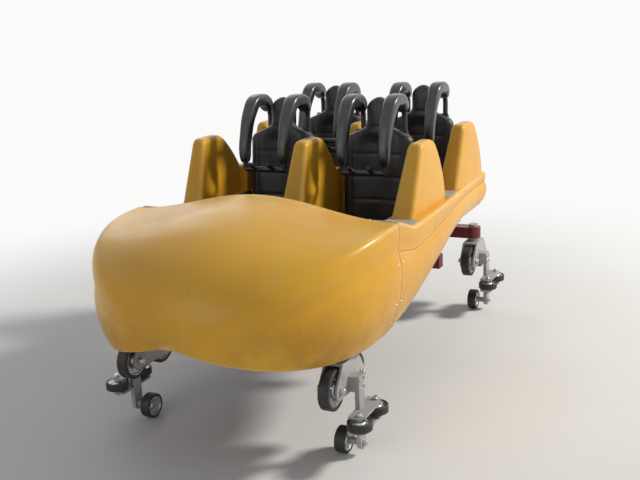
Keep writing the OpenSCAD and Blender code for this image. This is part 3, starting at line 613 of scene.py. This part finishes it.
def sweep(points, radius, steps=12):
    """Rings of a round section along points; the radius is a number or a function of the share passed."""
    pts = [Vector(p) for p in points]
    angles = [2 * math.pi * j / steps for j in range(steps)]
    rings = []
    side = None
    for i, p in enumerate(pts):
        ahead = (pts[min(i + 1, len(pts) - 1)] - pts[max(i - 1, 0)]).normalized()
        if side is None:
            side = ahead.orthogonal().normalized()
        side = (side - ahead * side.dot(ahead)).normalized()
        up = ahead.cross(side)
        r = radius(i / (len(pts) - 1)) if callable(radius) else radius
        rings.append([p + (side * math.cos(a) + up * math.sin(a)) * r for a in angles])
    return rings


def seam_trims():
    """Rolled edge of the cowl over the footwell, and the gaskets behind the cowl and under the sills."""
    roll_r, roll_y = 0.0075, LIP_Y + 0.002
    gasket_r, gasket_in, seam_r, seam_in = 0.0024, 0.0016, 0.0020, 0.0022
    widest, lowest = side_x(LIP_Y, 1) - RIM_R - 0.012, rim_z(LIP_Y) - 0.03
    half = [(x, roll_y, z) for x, z in nose_half(0, 0.006) if abs(x) < widest and z > lowest]
    b = Build()
    b.loft(sweep(both_sides(half), roll_r, 14))
    b.piece("nose_rolled_edge", AMBER, "car", 60, "amber_gelcoat")
    b = Build()
    for sign in (1, -1):
        edge = side_curve(LIP_Y, gasket_in) + rim_curve(LIP_Y, gasket_in)
        b.loft(sweep([(sign * x, LIP_Y, z) for x, z in edge], gasket_r, 8))
        seam = [(side_point(y, SEAM_U, seam_in), y) for y in np.linspace(TUB_REAR_Y - SKIN, LIP_Y, 60)]
        b.loft(sweep([(sign * x, y, z) for (x, z), y in seam], seam_r, 8))
    b.piece("seam_gasket", TRIM, "car", 60, "dark_moulding")


def body_fasteners():
    """Round heads in rows along the hems and beside the cowl seam, none of them past the car's own width."""
    b = Build()
    widest, hem, hem_head, beside, seam_head = CAD_BOX[1][0] - 0.004, 0.030, 0.008, 0.035, 0.0075
    cowl_share = nose_k(math.degrees(math.asin((beside / NOSE_LEN) ** (NOSE_POWER / 2))))
    for sign in (1, -1):
        for y in np.linspace(TUB_REAR_Y - 0.07, LIP_Y + 0.08, 11):
            u = hem / (rim_z(y) - RIM_R - low_z(y))
            b.dome((sign * min(side_x(y, u), widest), y, low_z(y) + hem), (sign, 0, -0.35), hem_head)
        for y, section_y, share in ((LIP_Y + beside, LIP_Y + beside, 1), (LIP_Y - beside, LIP_Y, cowl_share)):
            for u in (0.14, 0.32, 0.50, 0.68):
                x, z = side_point(section_y, u)
                b.dome((sign * min(x * share, widest), y, z), (sign, 0, 0.1), seam_head)
    b.piece("body_fasteners", STEEL, "car", 50, "grey_metal")


# Seat shells


def fin_front(u):
    return FIN_Y - FIN_LEAD * (1 - u)


def fin_rear(u):
    return FIN_Y + FIN_TOP + FIN_TRAIL * (1 - u ** 1.7) ** 0.85


# Share of a fin's height at which its round top starts, the top's share, and its radius
CAP_FROM, CAP_SHARE, CAP_R = 0.91, 0.09, 0.022


def fin_round(u):
    return 0 if u < CAP_FROM else CAP_R * (1 - math.sqrt(max(0, 1 - ((u - CAP_FROM) / CAP_SHARE) ** 2)))


FIN_LEVELS = list(np.linspace(0, 0.9, 34))
FIN_LEVELS += [CAP_FROM + CAP_SHARE * sind(a) for a in np.linspace(0, 90, 10)]


def back_pad(z):
    return BACK_FRONT + (z - CUSHION_Z) * LEAN


def back_wall(z):
    return back_pad(z) + BACK_T + SEAT_GAP


def fin_ring(x0, x1, u, low):
    r = fin_round(u)
    return round_rect(x0 + r, x1 - r, fin_front(u) + r, fin_rear(u) - r, FIN_CORNER - r * 0.6,
                      mix(low, SILL_Z + FIN_H, u), 7)


def wall_rings(x0, x1, low, top, depth, crown, narrow=0.0):
    """Upright slab that leans with the back wall, with a round top; its depth runs forward from the wall."""
    rings = []
    for a in (None, 0, 22, 45, 67, 90):
        g = 0 if a is None else crown * (1 - cosd(a))
        z = low if a is None else top - crown * (1 - sind(a))
        f = back_wall(z)
        front, rear = (f, f + WALL_T - g) if depth == 0 else (f - depth, f + 0.001)
        left, right = x0 + g * narrow, x1 - g * narrow
        rings.append([(left, front + g, z), (right, front + g, z), (right, rear, z), (left, rear, z)])
    return rings


def seat_shells():
    """Moulding of a row: two fins on the sills, the divider, and the back wall with its wings."""
    inner = SILL_IN - 2 * SEAT_GAP - FLOOR_T
    top, low = SILL_Z + WALL_H, SILL_Z + SEAT_GAP
    pad_edge, wing_edge = SEAT_X + SEAT_W / 2 + 0.002, FIN_OUT - WING_EDGE
    middle = DIVIDER_T / 2 - 0.012
    wall_crown, wing_crown = 0.0075, 0.020
    for name, shift in ROWS:
        forms = []
        for sign in (1, -1):
            rings = [fin_ring(FIN_OUT - mix(FIN_BASE_T, FIN_TOP_T, u), FIN_OUT, u, low) for u in FIN_LEVELS]
            forms.append([[(sign * x, y, z) for x, y, z in r] for r in rings])
        foot = [round_rect(-DIVIDER_T / 2, DIVIDER_T / 2, mix(CUSHION_FRONT + 0.012, fin_front(0), t),
                           mix(back_wall(mix(BASE_Z, SILL_Z, t)) + WALL_T / 2, fin_rear(0), t), FIN_CORNER,
                           mix(BASE_Z, SILL_Z, t), 7) for t in (0, 0.25, 0.5, 0.75)]
        halves = [(mix(DIVIDER_T, FIN_TOP_T, u) / 2, u) for u in FIN_LEVELS]
        forms.append(foot + [fin_ring(-w, w, u, SILL_Z) for w, u in halves])
        forms.append(wall_rings(-inner, inner, BASE_Z, top, 0, wall_crown))
        forms.append(wall_rings(-wing_edge, wing_edge, low, top, 0, wall_crown))
        for x0, x1 in ((pad_edge, wing_edge), (-wing_edge, -pad_edge), (-middle, middle)):
            forms.append(wall_rings(x0, x1, low, top, WING_DEPTH, wing_crown, 0.3))
        b = Build()
        for rings in forms:
            b.loft([[(x, y + shift, z) for x, y, z in r] for r in rings])
        b.piece(f"seat_moulding_{name}", AMBER, "car", 40, "amber_gelcoat", f"seat_shell_{name}")


def tread_plates():
    """Gritted plates on the sills, ahead of each fin, with rounded corners and a screw near each corner."""
    b = Build()
    edge, gap, thick, corner, bevel = 0.008, 0.012, 0.003, 0.022, 0.0008
    screw_r, screw_y, screw_x = 0.0065, 0.024, 0.022
    spans = ((LIP_Y + 0.022, fin_front(0) - gap), (fin_rear(0) + gap, fin_front(0) + ROW_PITCH - gap))
    turn = [corner * (1 - cosd(a)) for a in np.linspace(0, 90, 8)]
    for start, end in spans:
        ys = [start + t for t in turn] + list(np.linspace(start + corner, end - corner, 14)[1:-1])
        ys += [end - t for t in reversed(turn)]
        for sign in (1, -1):
            rings = []
            for y in ys:
                near = min(y - start, end - y)
                pull = corner - math.sqrt(max(0, corner ** 2 - (corner - near) ** 2)) if near < corner else 0
                x0, x1 = SILL_IN + edge + pull, side_x(y, 1) - RIM_R - edge * 0.4 - pull
                low = rim_z(y) + SEAT_GAP
                section = [(x0, low), (x1, low), (x1, low + thick - bevel), (x1 - bevel, low + thick),
                           (x0 + bevel, low + thick), (x0, low + thick - bevel)]
                rings.append([(sign * x, y, z) for x, z in section])
            b.loft(rings)
            for y in (start + screw_y, end - screw_y):
                for x in (SILL_IN + edge + screw_x, side_x(y, 1) - RIM_R - edge - screw_x):
                    b.dome((sign * x, y, rim_z(y) + SEAT_GAP + thick + 0.0004), (0, 0, 1), screw_r, 1)
    b.piece("tread_plates", [TREAD, STEEL], "car", 40, "grey_tread", "entry_treads")


# Upholstery


def dome_at(z):
    return math.sqrt(max(0.02, 1 - max(0, (z - HEAD_Z + HEAD_W) / HEAD_W) ** 2))


def back_half(z):
    return mix(HEAD_W, SEAT_W / 2 - 0.020, smooth((SHOULDER_Z + 0.020 - z) / 0.090))


def cushion_base(shrink):
    """Crowned cushion a little smaller than its solid, for swelling."""
    half, low, high = SEAT_W / 2 - shrink, BASE_Z + 0.001, CUSHION_Z - shrink
    front, rear, corner = CUSHION_FRONT + 0.004 + shrink, BACK_FRONT - 0.010 - shrink, 0.050
    # Share of the height and how far the edge is drawn in there
    levels = [(0, 0.014), (0.12, 0.003), (0.3, 0), (0.7, 0.001), (0.9, 0.012), (1, 0.034)]
    b = Build()
    b.loft([round_rect(-half + i, half - i, front + i, rear - i, corner - i, mix(low, high, t), 8)
            for t, i in levels])
    return b


def back_base(shrink):
    """Back with shoulders, narrowing to a domed headrest."""
    b = Build()
    rings = []
    dome_foot = HEAD_Z - HEAD_W
    levels = list(np.linspace(BASE_Z + 0.002, dome_foot, 30))
    levels += [dome_foot + (HEAD_W - shrink) * sind(a) for a in (12, 24, 36, 47, 57, 66, 74, 80, 85)]
    for z in levels:
        k = dome_at(z + shrink * smooth((z - dome_foot) / HEAD_W))
        w, y, i = (back_half(z) - shrink) * k, back_pad(z), 0.024 * (1 - k)
        front, rear = y + shrink + i, y + BACK_T - 0.001 - i * 0.5
        rings.append(round_rect(-w, w, front, rear, min(0.030, w * 0.9), z, 6))
    b.loft(rings)
    return b


def swell(obj, voxel, cap, pressure=4.0, frames=20):
    """Voxel remesh, then Cloth with pressure and no gravity; no point ends beyond cap from its start."""
    scene = bpy.context.scene
    remesh = obj.modifiers.new("remesh", "REMESH")
    remesh.mode, remesh.voxel_size = "VOXEL", voxel
    bpy.context.view_layer.objects.active = obj
    bpy.ops.object.modifier_apply(modifier=remesh.name)
    rest = values_of(obj.data.vertices, "co", 3)
    cloth = obj.modifiers.new("cloth", "CLOTH")
    settings = cloth.settings
    settings.quality, settings.mass = 5, 0.3
    settings.use_pressure, settings.uniform_pressure_force = True, pressure
    settings.tension_stiffness = settings.compression_stiffness = 12
    settings.bending_stiffness, settings.effector_weights.gravity = 0.6, 0
    for clock in (scene, cloth.point_cache):
        clock.frame_start, clock.frame_end = 1, frames
    for f in range(1, frames + 1):
        scene.frame_set(f)
    deps = bpy.context.evaluated_depsgraph_get()
    moved = values_of(obj.evaluated_get(deps).to_mesh().vertices, "co", 3)
    obj.modifiers.remove(cloth)
    step = moved - rest
    length = np.linalg.norm(step, axis=1, keepdims=True)
    rest = rest + step * np.minimum(1, cap / np.maximum(length, 1e-9))
    scene.frame_set(1)
    return rest


# Sewn lines: their places across the cushion and the back, their width and their two depths
CUSHION_SEAM, BACK_SEAM, SEAM_W, SEAM_DEEP, SEAM_FINE = 0.18, 0.165, 0.006, 0.0055, 0.0045


def groove(x, centre, width):
    return np.exp(-((x - centre) / width) ** 2)


def finish_pad(obj, co, shape):
    """Presses seams and dishes into the swollen pad, keeps it in its solid's space and subdivides it once."""
    obj.data.vertices.foreach_set("co", shape(co).astype(np.float32).ravel())
    obj.data.update()
    smoother = obj.modifiers.new("even", "SMOOTH")
    smoother.factor, smoother.iterations = 0.5, 2
    sub = obj.modifiers.new("fine", "SUBSURF")
    sub.levels = sub.render_levels = 1
    bpy.context.view_layer.objects.active = obj
    for modifier in (smoother, sub):
        bpy.ops.object.modifier_apply(modifier=modifier.name)
    obj.data.shade_smooth()


def shape_cushion(co):
    """Dished seat between raised side bolsters, with two sewn lines along it and one across."""
    x, y, z = co.T.copy()
    top = smooth((z - (CUSHION_Z - 0.045)) / 0.03)
    z -= top * 0.014 * np.cos(np.clip(x / 0.185, -1, 1) * math.pi / 2) ** 2
    for line in (-CUSHION_SEAM, CUSHION_SEAM):
        z -= top * SEAM_DEEP * groove(x, line, SEAM_W)
    z -= top * SEAM_FINE * groove(y, -0.085, SEAM_W) * (np.abs(x) < CUSHION_SEAM)
    z = np.clip(z, BASE_Z + SEAT_GAP, CUSHION_Z)
    x = np.clip(x, -SEAT_W / 2, SEAT_W / 2)
    y = np.clip(y, CUSHION_FRONT + 0.004, BACK_FRONT - 0.010)
    return np.stack([x, y, z], 1)


def shape_back(co):
    """Dished back between side bolsters: two sewn lines up it, three across, one under the headrest."""
    x, y, z = co.T.copy()
    face = smooth((0.045 - (y - back_pad(z))) / 0.03)
    bolster = smooth((SHOULDER_Z - 0.02 - z) / 0.08)
    y += face * bolster * 0.018 * np.cos(np.clip(x / 0.170, -1, 1) * math.pi / 2) ** 2
    for line in (-BACK_SEAM, BACK_SEAM):
        y += face * bolster * SEAM_DEEP * groove(x, line, SEAM_W)
    for level in (1.06, 1.20, 1.34):
        y += face * SEAM_FINE * groove(z, level, SEAM_W) * (np.abs(x) < BACK_SEAM)
    y += face * 0.005 * groove(z, 1.505, 0.008) * (np.abs(x) < 0.1)
    y = np.clip(y, back_pad(z) + 0.0005, back_pad(z) + BACK_T)
    z = np.clip(z, BASE_Z + SEAT_GAP, HEAD_Z)
    return np.stack([x, y, z], 1)


def seat_pads():
    """One seat is simulated, and the other three share its form."""
    forms = []
    for part, base, shape, cap in (("cushion", cushion_base(0.007), shape_cushion, 0.007),
                                   ("back", back_base(0.006), shape_back, 0.006)):
        obj = new_object(f"seat_{part}_form", base.verts, base.faces, PAD, 60)
        co = swell(obj, voxel=0.0092, cap=cap)
        finish_pad(obj, co, shape)
        forms.append((part, obj.data))
        bpy.data.objects.remove(obj)
    for name, shift, sign in SEATS:
        for part, mesh in forms:
            mine = mesh.copy()
            mine.transform(Matrix.Translation((sign * SEAT_X, shift, 0)))
            piece = link(bpy.data.objects.new(f"seat_{part}_{name}", mine))
            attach(piece, "car")
            if part == "cushion":
                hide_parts(f"seat_pad_{name}")


# Restraints


def unit(v):
    return np.array(v) / np.linalg.norm(v)


def bend_places(a, b, c, steps=10):
    """Round bend of the arm's tube in place of the corner b between a and c."""
    a, b, c = complex(*a), complex(*b), complex(*c)
    ahead, turn = (b - a) / abs(b - a), cmath.phase((c - b) / (b - a))
    start = b - ahead * ARM_BEND * math.tan(abs(turn) / 2)
    centre = start + ahead * math.copysign(ARM_BEND, turn) * 1j
    places = [centre + (start - centre) * cmath.exp(1j * turn * i / steps) for i in range(steps + 1)]
    return [(p.real, p.imag) for p in places]


def arm_line():
    bends = [bend_places(*corners) for corners in zip(ARM_PATH, ARM_PATH[1:], ARM_PATH[2:])]
    return [ARM_PATH[0], *sum(bends, []), ARM_PATH[-1]]


LENGTHS = np.concatenate([[0], np.cumsum([math.dist(a, b) for a, b in zip(ARM_PATH, ARM_PATH[1:])])])


def path_at(d):
    return np.array([np.interp(d, LENGTHS, [p[k] for p in ARM_PATH]) for k in (0, 1)])


def soft_at(d):
    return sum(path_at(d + k) for k in (-0.038, -0.019, 0, 0.019, 0.038)) / 5


COLLAR_FROM, COLLAR_TO = LENGTHS[1] + 0.030, LENGTHS[-1] - 0.042


def collar_ring(t, sides=10):
    """Section of the collar's arm: rounded, with a moulding seam along its outer edges."""
    d = mix(COLLAR_FROM, COLLAR_TO, t)
    p, f = soft_at(d), unit(soft_at(d + 0.006) - soft_at(d - 0.006))
    ends = 1 - 0.35 * abs(2 * t - 1) ** 14
    w = mix(COLLAR_W, COLLAR_LOW_W, smooth(t * 1.5 - 0.35)) / 2 * ends
    h = COLLAR_T / 2 * ends
    ring = []
    for x, q, _ in round_rect(-w, w, -h, h, min(w, h) * 0.62, 0, sides):
        seam = 0.0022 * math.exp(-((q / 0.0035) ** 2))
        x -= math.copysign(seam, x) if abs(x) > w * 0.8 else 0
        ring.append((x, p[0] + q * f[1], p[1] - q * f[0]))
    return ring


def restraints():
    """Restraints: two bent tubes, a bored barrel and a cross tube, with ribbed grips and foam collars."""
    line = arm_line()
    chest = ARM_PATH[-1]
    half, bore, neck, flange, shoulder = BARREL_HALF, SHAFT_R + 0.0001, BARREL_R - 0.002, 0.008, 0.010
    barrel = mirrored([(bore, -half), (BARREL_R, -half), (BARREL_R, flange - half), (neck, shoulder - half)])
    # Rubber sleeve with nine ribs and a round end, as (radius, along)
    grip = [(CORE_R, 0.010), (0.011, 0.010)]
    for i in range(9):
        h = 0.020 + i * 0.008
        grip += [(0.0128, h), (0.0140, h + 0.002), (0.0140, h + 0.005), (0.0128, h + 0.007)]
    grip += [(0.0115, 0.0925), (0.007, 0.0948), (CORE_R, 0.0950)]
    ahead = Vector((0, -sind(GRIP_LEAN), cosd(GRIP_LEAN)))
    for name, shift, sign in SEATS:
        at = Vector((sign * SEAT_X, shift, 0))
        body = f"restraint_{name}"
        tubes, grips, foam = Build(), Build(), Build()
        for s in (-1, 1):
            rings = sweep([(s * ARM_X, y, z) for y, z in line], ARM_R, 20)
            tubes.loft([[at + p for p in r] for r in rings])
            grips.revolve(grip, at + Vector((s * GRIP_X, *chest)), ahead, 0, 24)
            rings = [collar_ring(t) for t in np.linspace(0, 1, 64)]
            foam.loft([[at + Vector((s * ARM_X + x, y, z)) for x, y, z in r] for r in rings])
        tubes.revolve(barrel, at + Vector((0, *PIVOT)), (1, 0, 0))
        tubes.rod(at + Vector((-ARM_X, *chest)), at + Vector((ARM_X, *chest)), ARM_R)
        tubes.piece(f"restraint_tube_{name}", BLACK_STEEL, body, 40, "black_steel", f"restraint_frame_{name}")
        grips.piece(f"hand_grips_{name}", GRIP, body, 50, "black_pad")
        collar = foam.piece(f"collar_foam_{name}", COLLAR_SKIN, body, 60, "black_pad",
                            f"restraint_collar_{name}")


# Running gear


def wheel_profile(r, w, bore):
    """Tyre and hub sections of a wheel about Z, as (radius, along)."""
    rim, end, corner, crown_h = r - r * TYRE_SHARE, -w / 2, 0.008, 0.0006
    dish = end + w * DISH_SHARE
    tyre = [(rim - 0.002, end + 0.003), (r - corner, end)]
    tyre += [(r - corner + corner * sind(a), end + corner - corner * cosd(a)) for a in (22, 45, 67)]
    tyre += [(r - crown_h, end + corner)]
    hub = [(bore, end + 0.002), (bore + 0.013, end + 0.002), (bore + 0.016, end + 0.005),
           (bore + HUB_FOOT, dish), (rim - RIM_LEDGE, dish), (rim - 0.006, end + 0.004),
           (rim - 0.0015, end + 0.003)]
    return mirrored(tyre, [(r, 0)]), mirrored(hub)


def wheels():
    """Every wheel: rubber tyre with a low crown, dished hub, and six bolts on each face."""
    for corner in CORNERS:
        for kind in WHEEL_KINDS:
            node = f"{kind}_{corner}"
            low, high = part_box(node)
            centre, size = (low + high) / 2, high - low
            family = kind.split("_")[0]
            upright = family == "guide"
            r, w = (size.x / 2, size.z) if upright else (size.y / 2, size.x)
            axis = (0, 0, 1) if upright else (1, 0, 0)
            tyre, hub = wheel_profile(r, w, BORES[family])
            b = Build()
            b.revolve(tyre, centre, axis, 0, 56)
            b.revolve(hub, centre, axis, 1, 40)
            turn = turned(axis)
            ring_r = (BORES[family] + HUB_FOOT + r * (1 - TYRE_SHARE) - RIM_LEDGE) / 2
            for end in (-1, 1):
                for a in range(0, 360, 60):
                    spot = Vector((ring_r * cosd(a), ring_r * sind(a), end * (w / 2 - w * DISH_SHARE)))
                    b.bolt(centre + turn @ spot, turn @ Vector((0, 0, end)), min(0.0055, w * 0.10), 1)
            b.piece(f"{node}_dressed", [TYRE, HUB], node, 40, "wheel_tyre", node)


def box_mid(node):
    low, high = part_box(node)
    return (low + high) / 2


def carrier_hardware():
    """Nuts on the running, up-stop and guide wheels' pins, and four bolts in the C arm."""
    run_nut, upstop_nut, guide_nut = 0.017, 0.015, 0.012
    arm_bolt, arm_bolt_y, arm_bolt_z = 0.008, 0.026, 0.022
    for corner in CORNERS:
        name = f"carrier_{corner}"
        low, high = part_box(name)
        mid_y = (low.y + high.y) / 2
        side = 1 if low.x > 0 else -1
        inner = side * min(abs(low.x), abs(high.x))
        run, up, guide = [box_mid(f"{kind}_wheel{letter}_{corner}")
                          for kind, letter in (("run", "_a"), ("upstop", ""), ("guide", "_a"))]
        cheek_out = run.x + side * (RUN_HALF + MOVE_GAP + PLATE_T + PIN_PROUD)
        b = Build()
        for s in (-1, 1):
            y = mid_y + s * abs(run.y - mid_y)
            b.bolt((cheek_out, y, run.z), (side, 0, 0), run_nut)
            b.bolt((inner, y, run.z), (-side, 0, 0), run_nut)
            y = mid_y + s * abs(guide.y - mid_y)
            for end in (1, -1):
                b.bolt((guide.x, y, guide.z + end * GUIDE_PIN_HALF), (0, 0, end), guide_nut)
        b.bolt((up.x + side * (ARM_OUT + PIN_PROUD), up.y, up.z), (side, 0, 0), upstop_nut)
        for y in (-arm_bolt_y, arm_bolt_y):
            for z in (-arm_bolt_z, arm_bolt_z):
                b.bolt((run.x + side * ARM_OUT, mid_y + y, run.z + z), (side, 0, 0), arm_bolt)
        b.piece(f"carrier_nuts_{corner}", STEEL, name, 45, "grey_metal")


def weld(b, start, end, radius=0.0045, ripple=0.006):
    """Fillet bead along a straight line, with its ripples."""
    start, end = Vector(start), Vector(end)
    count = max(6, int((end - start).length / ripple))
    line = [start.lerp(end, i / count) for i in range(count + 1)]
    b.loft(sweep(line, lambda t: radius * (0.86 + 0.14 * math.cos(math.pi * t * count)), 6))


def chassis_hardware():
    """Bolts of the axle beams and the coupling's flange, and the welds of the beams, coupling and frame."""
    bolts, welds = Build(), Build()
    clamp_x, clamp_y, clamp_bolt, boss_x, bead_in = 0.055, 0.030, 0.012, 0.552, 0.004
    for node in ("front_axle", "rear_axle"):
        low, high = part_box(node)
        mid = (low.y + high.y) / 2
        for x in (-clamp_x, clamp_x):
            for y in (-clamp_y, clamp_y):
                bolts.bolt((x, mid + y, high.z), (0, 0, 1), clamp_bolt)
        for x in (-boss_x, boss_x):
            for face in (low.y + 0.002, high.y - 0.002):
                y = mid + (face - mid) * 0.96
                weld(welds, (x, y, low.z + bead_in), (x, y, high.z - bead_in))
    low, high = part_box("drawbar")
    flange_x, flange_z, flange_bolt, bar_x, bar_z = 0.058, 0.036, 0.010, 0.034, 0.022
    mid = (low.z + high.z) / 2
    for x in (-flange_x, flange_x):
        for z in (-flange_z, flange_z):
            bolts.bolt((x, low.y + 0.0157, mid + z), (0, 1, 0), flange_bolt)
    for z in (mid - bar_z, mid + bar_z):
        weld(welds, (-bar_x, low.y + 0.0165, z), (bar_x, low.y + 0.0165, z))
    bottom = SPINE_TOP - SPINE_H
    foot = bottom + 0.020
    for y, high_z in MEMBERS:
        for x in (SPINE_HALF, -SPINE_HALF):
            for edge in (y - CROSS_HALF, y + CROSS_HALF):
                weld(welds, (x, edge, foot), (x, edge, min(SPINE_TOP, high_z)))
            weld(welds, (x, y - CROSS_HALF, foot), (x, y + CROSS_HALF, foot))
    for sign in (1, -1):
        x = sign * BRAKE_T / 2
        weld(welds, (x, -BRAKE_HALF, bottom), (x, BRAKE_HALF, bottom))
        x = sign * POST_X
        for y in POSTS:
            for edge in (-POST_HALF, POST_HALF):
                weld(welds, (x - POST_HALF, y + edge, SPINE_TOP), (x + POST_HALF, y + edge, SPINE_TOP))
                weld(welds, (x + edge, y - POST_HALF, SPINE_TOP), (x + edge, y + POST_HALF, SPINE_TOP))
    bolts.piece("chassis_bolts", STEEL, "car", 45, "grey_metal")
    welds.piece("chassis_welds", MAROON, "car", 60, "maroon_paint")


def mount_hardware():
    """Bolts through the restraint brackets' feet and the back plates, and collars on the pivot shaft."""
    b = Build()
    bracket_x, bracket_half, foot_y, foot_bolt, plate_bolt = BARREL_HALF + 0.006, 0.0035, 0.020, 0.007, 0.006
    collar_x, collar_t, collar_r = 0.004, 0.006, 0.024
    for _, shift in ROWS:
        for sign in (1, -1):
            for s in (-1, 1):
                x = sign * SEAT_X + s * bracket_x
                for z in (1.12, 1.20):
                    y = back_wall(z) + WALL_T + shift + foot_y
                    b.bolt((x + s * bracket_half, y, z), (s, 0, 0), foot_bolt)
                end = Vector((x + s * collar_x, shift + PIVOT[0], PIVOT[1]))
                b.rod(end, end + Vector((s * collar_t, 0, 0)), collar_r)
            for x in (-0.11, 0, 0.11):
                for z in (1.262, 1.445):
                    b.bolt((sign * SEAT_X + x, back_wall(z) + 0.006 + shift, z), (0, 1, -LEAN), plate_bolt)
    b.piece("bracket_bolts", STEEL, "car", 45, "grey_metal")


def rear_hardware():
    """Round heads along the rear panel's lower and upper edges and beside its ends."""
    b = Build()
    y, head = TUB_REAR_Y, 0.008
    spots = [(x, z) for x in np.linspace(-0.62, 0.62, 9) for z in (low_z(y) + 0.028, rim_z(y) - 0.030)]
    for sign in (1, -1):
        for u in (0.35, 0.65):
            x, z = side_point(y, u, 0.030)
            spots.append((sign * x, z))
    for x, z in spots:
        b.dome((x, y, z), (0, 1, 0), head)
    b.piece("rear_fasteners", STEEL, "car", 50, "grey_metal")


def ribbed_mat(b, half, y0, y1, z, rib=0.020):
    """Rubber mat with rounded ribs across the car."""
    count = int((y1 - y0) / rib)
    step = (y1 - y0) / count
    line = [(y0, z), (y0, z + 0.003)]
    for i in range(count):
        start = y0 + i * step
        line += [(start + step * t, z + 0.003 + 0.0025 * sind(180 * max(0, (t - 0.3) / 0.7)) ** 0.6)
                 for t in (0.3, 0.45, 0.65, 0.85, 0.999)]
    line += [(y1, z + 0.003), (y1, z)]
    b.loft([[(x, y, h) for y, h in line] for x in (-half, half)])


def floor_mats():
    b = Build()
    half, gap, rear = SILL_IN - FLOOR_T - 0.012, 0.012, CUSHION_FRONT - FLOOR_T - 0.014
    ribbed_mat(b, half, DASH_Y + FLOOR_T + gap, rear, FLOOR_Z + 0.0002)
    ribbed_mat(b, half, WELL_Y + gap, rear + ROW_PITCH, REAR_FLOOR_Z + 0.0002)
    b.piece("floor_mats", TRIM, "car", 30, "dark_moulding")


# Studio


SURROUND = (0.96, 0.96, 0.955)
# Distances from the car's middle between which the floor turns into the surround
FADE_FROM, FADE_TO = 2.0, 5.4


def floor_material():
    """Pale studio floor that turns into the surround's own colour away from the car."""
    g = Graph("studio_floor")
    g.tone = g.blend(g.span(g.noise(0.8, 3), 0.3, 0.7), (0.84, 0.84, 0.83), (0.87, 0.87, 0.86))
    g.set(Roughness=0.85, Specular_IOR_Level=0.2)
    distance = g.node("ShaderNodeVectorMath", {0: g.coords}, operation="LENGTH").outputs["Value"]
    away = g.span(distance, FADE_FROM, FADE_TO)
    ease = g.times(g.times(away, away), g.math("SUBTRACT", 3.0, g.times(away, 2.0)))
    glow = g.node("ShaderNodeEmission", {"Color": SURROUND})
    g.mix_by(g.times(ease, g.seen_directly()), g.bsdf, glow, "Material Output")
    return g.mat


def studio():
    bpy.ops.mesh.primitive_plane_add(size=60, location=(0, 0, 0))
    floor = bpy.context.object
    floor.name = "floor"
    floor.data.materials.append(floor_material())
    world = bpy.data.worlds.new("studio")
    bpy.context.scene.world = world
    world.use_nodes = True
    g = Nodes(world.node_tree)
    lit = g.tree.nodes["Background"]
    g.plug(lit.inputs["Color"], (0.92, 0.95, 1.0))
    g.plug(lit.inputs["Strength"], 0.30)
    g.mix_by(g.seen_directly(), lit, g.node("ShaderNodeBackground", {"Color": SURROUND}), "World Output")


def set_up(name, data, at, turn):
    """Light or camera at its place, turned by a quaternion."""
    obj = link(bpy.data.objects.new(name, data))
    obj.location, obj.rotation_mode, obj.rotation_quaternion = at, "QUATERNION", turn
    return obj


def area_light(name, at, target, size, power, colour=(1, 1, 1)):
    light = bpy.data.lights.new(name, "AREA")
    light.shape, light.size = "DISK", size
    light.energy, light.color = power, colour
    set_up(name, light, at, (Vector(target) - Vector(at)).to_track_quat("-Z", "Y"))


def lights():
    area_light("key", (10.6, 6.4, 9.0), (0, 0, 0.9), 2.6, 1800, (1.0, 0.96, 0.88))
    area_light("fill", (-3.0, -9.5, 4.6), (0, 0, 0.8), 5.0, 75, (0.92, 0.95, 1.0))
    area_light("back", (-6.0, 5.0, 5.5), (0, 0, 0.9), 4.5, 60)


def camera():
    data = bpy.data.cameras.new("camera")
    data.lens = CAMERA_LENS
    back = (CAMERA_AT - CAMERA_TARGET).normalized()
    right = Vector((sind(CAMERA_BANK), 0, cosd(CAMERA_BANK))).cross(back).normalized()
    turn = Matrix((right, back.cross(right), back)).transposed().to_quaternion()
    bpy.context.scene.camera = set_up("camera", data, CAMERA_AT, turn)


dress_cad_nodes()
side_mouldings()
nose_cowl()
seam_trims()
body_fasteners()
seat_shells()
tread_plates()
seat_pads()
restraints()
wheels()
carrier_hardware()
chassis_hardware()
mount_hardware()
rear_hardware()
floor_mats()
studio()
lights()
camera()
bpy.context.scene.view_settings.view_transform = "Standard"
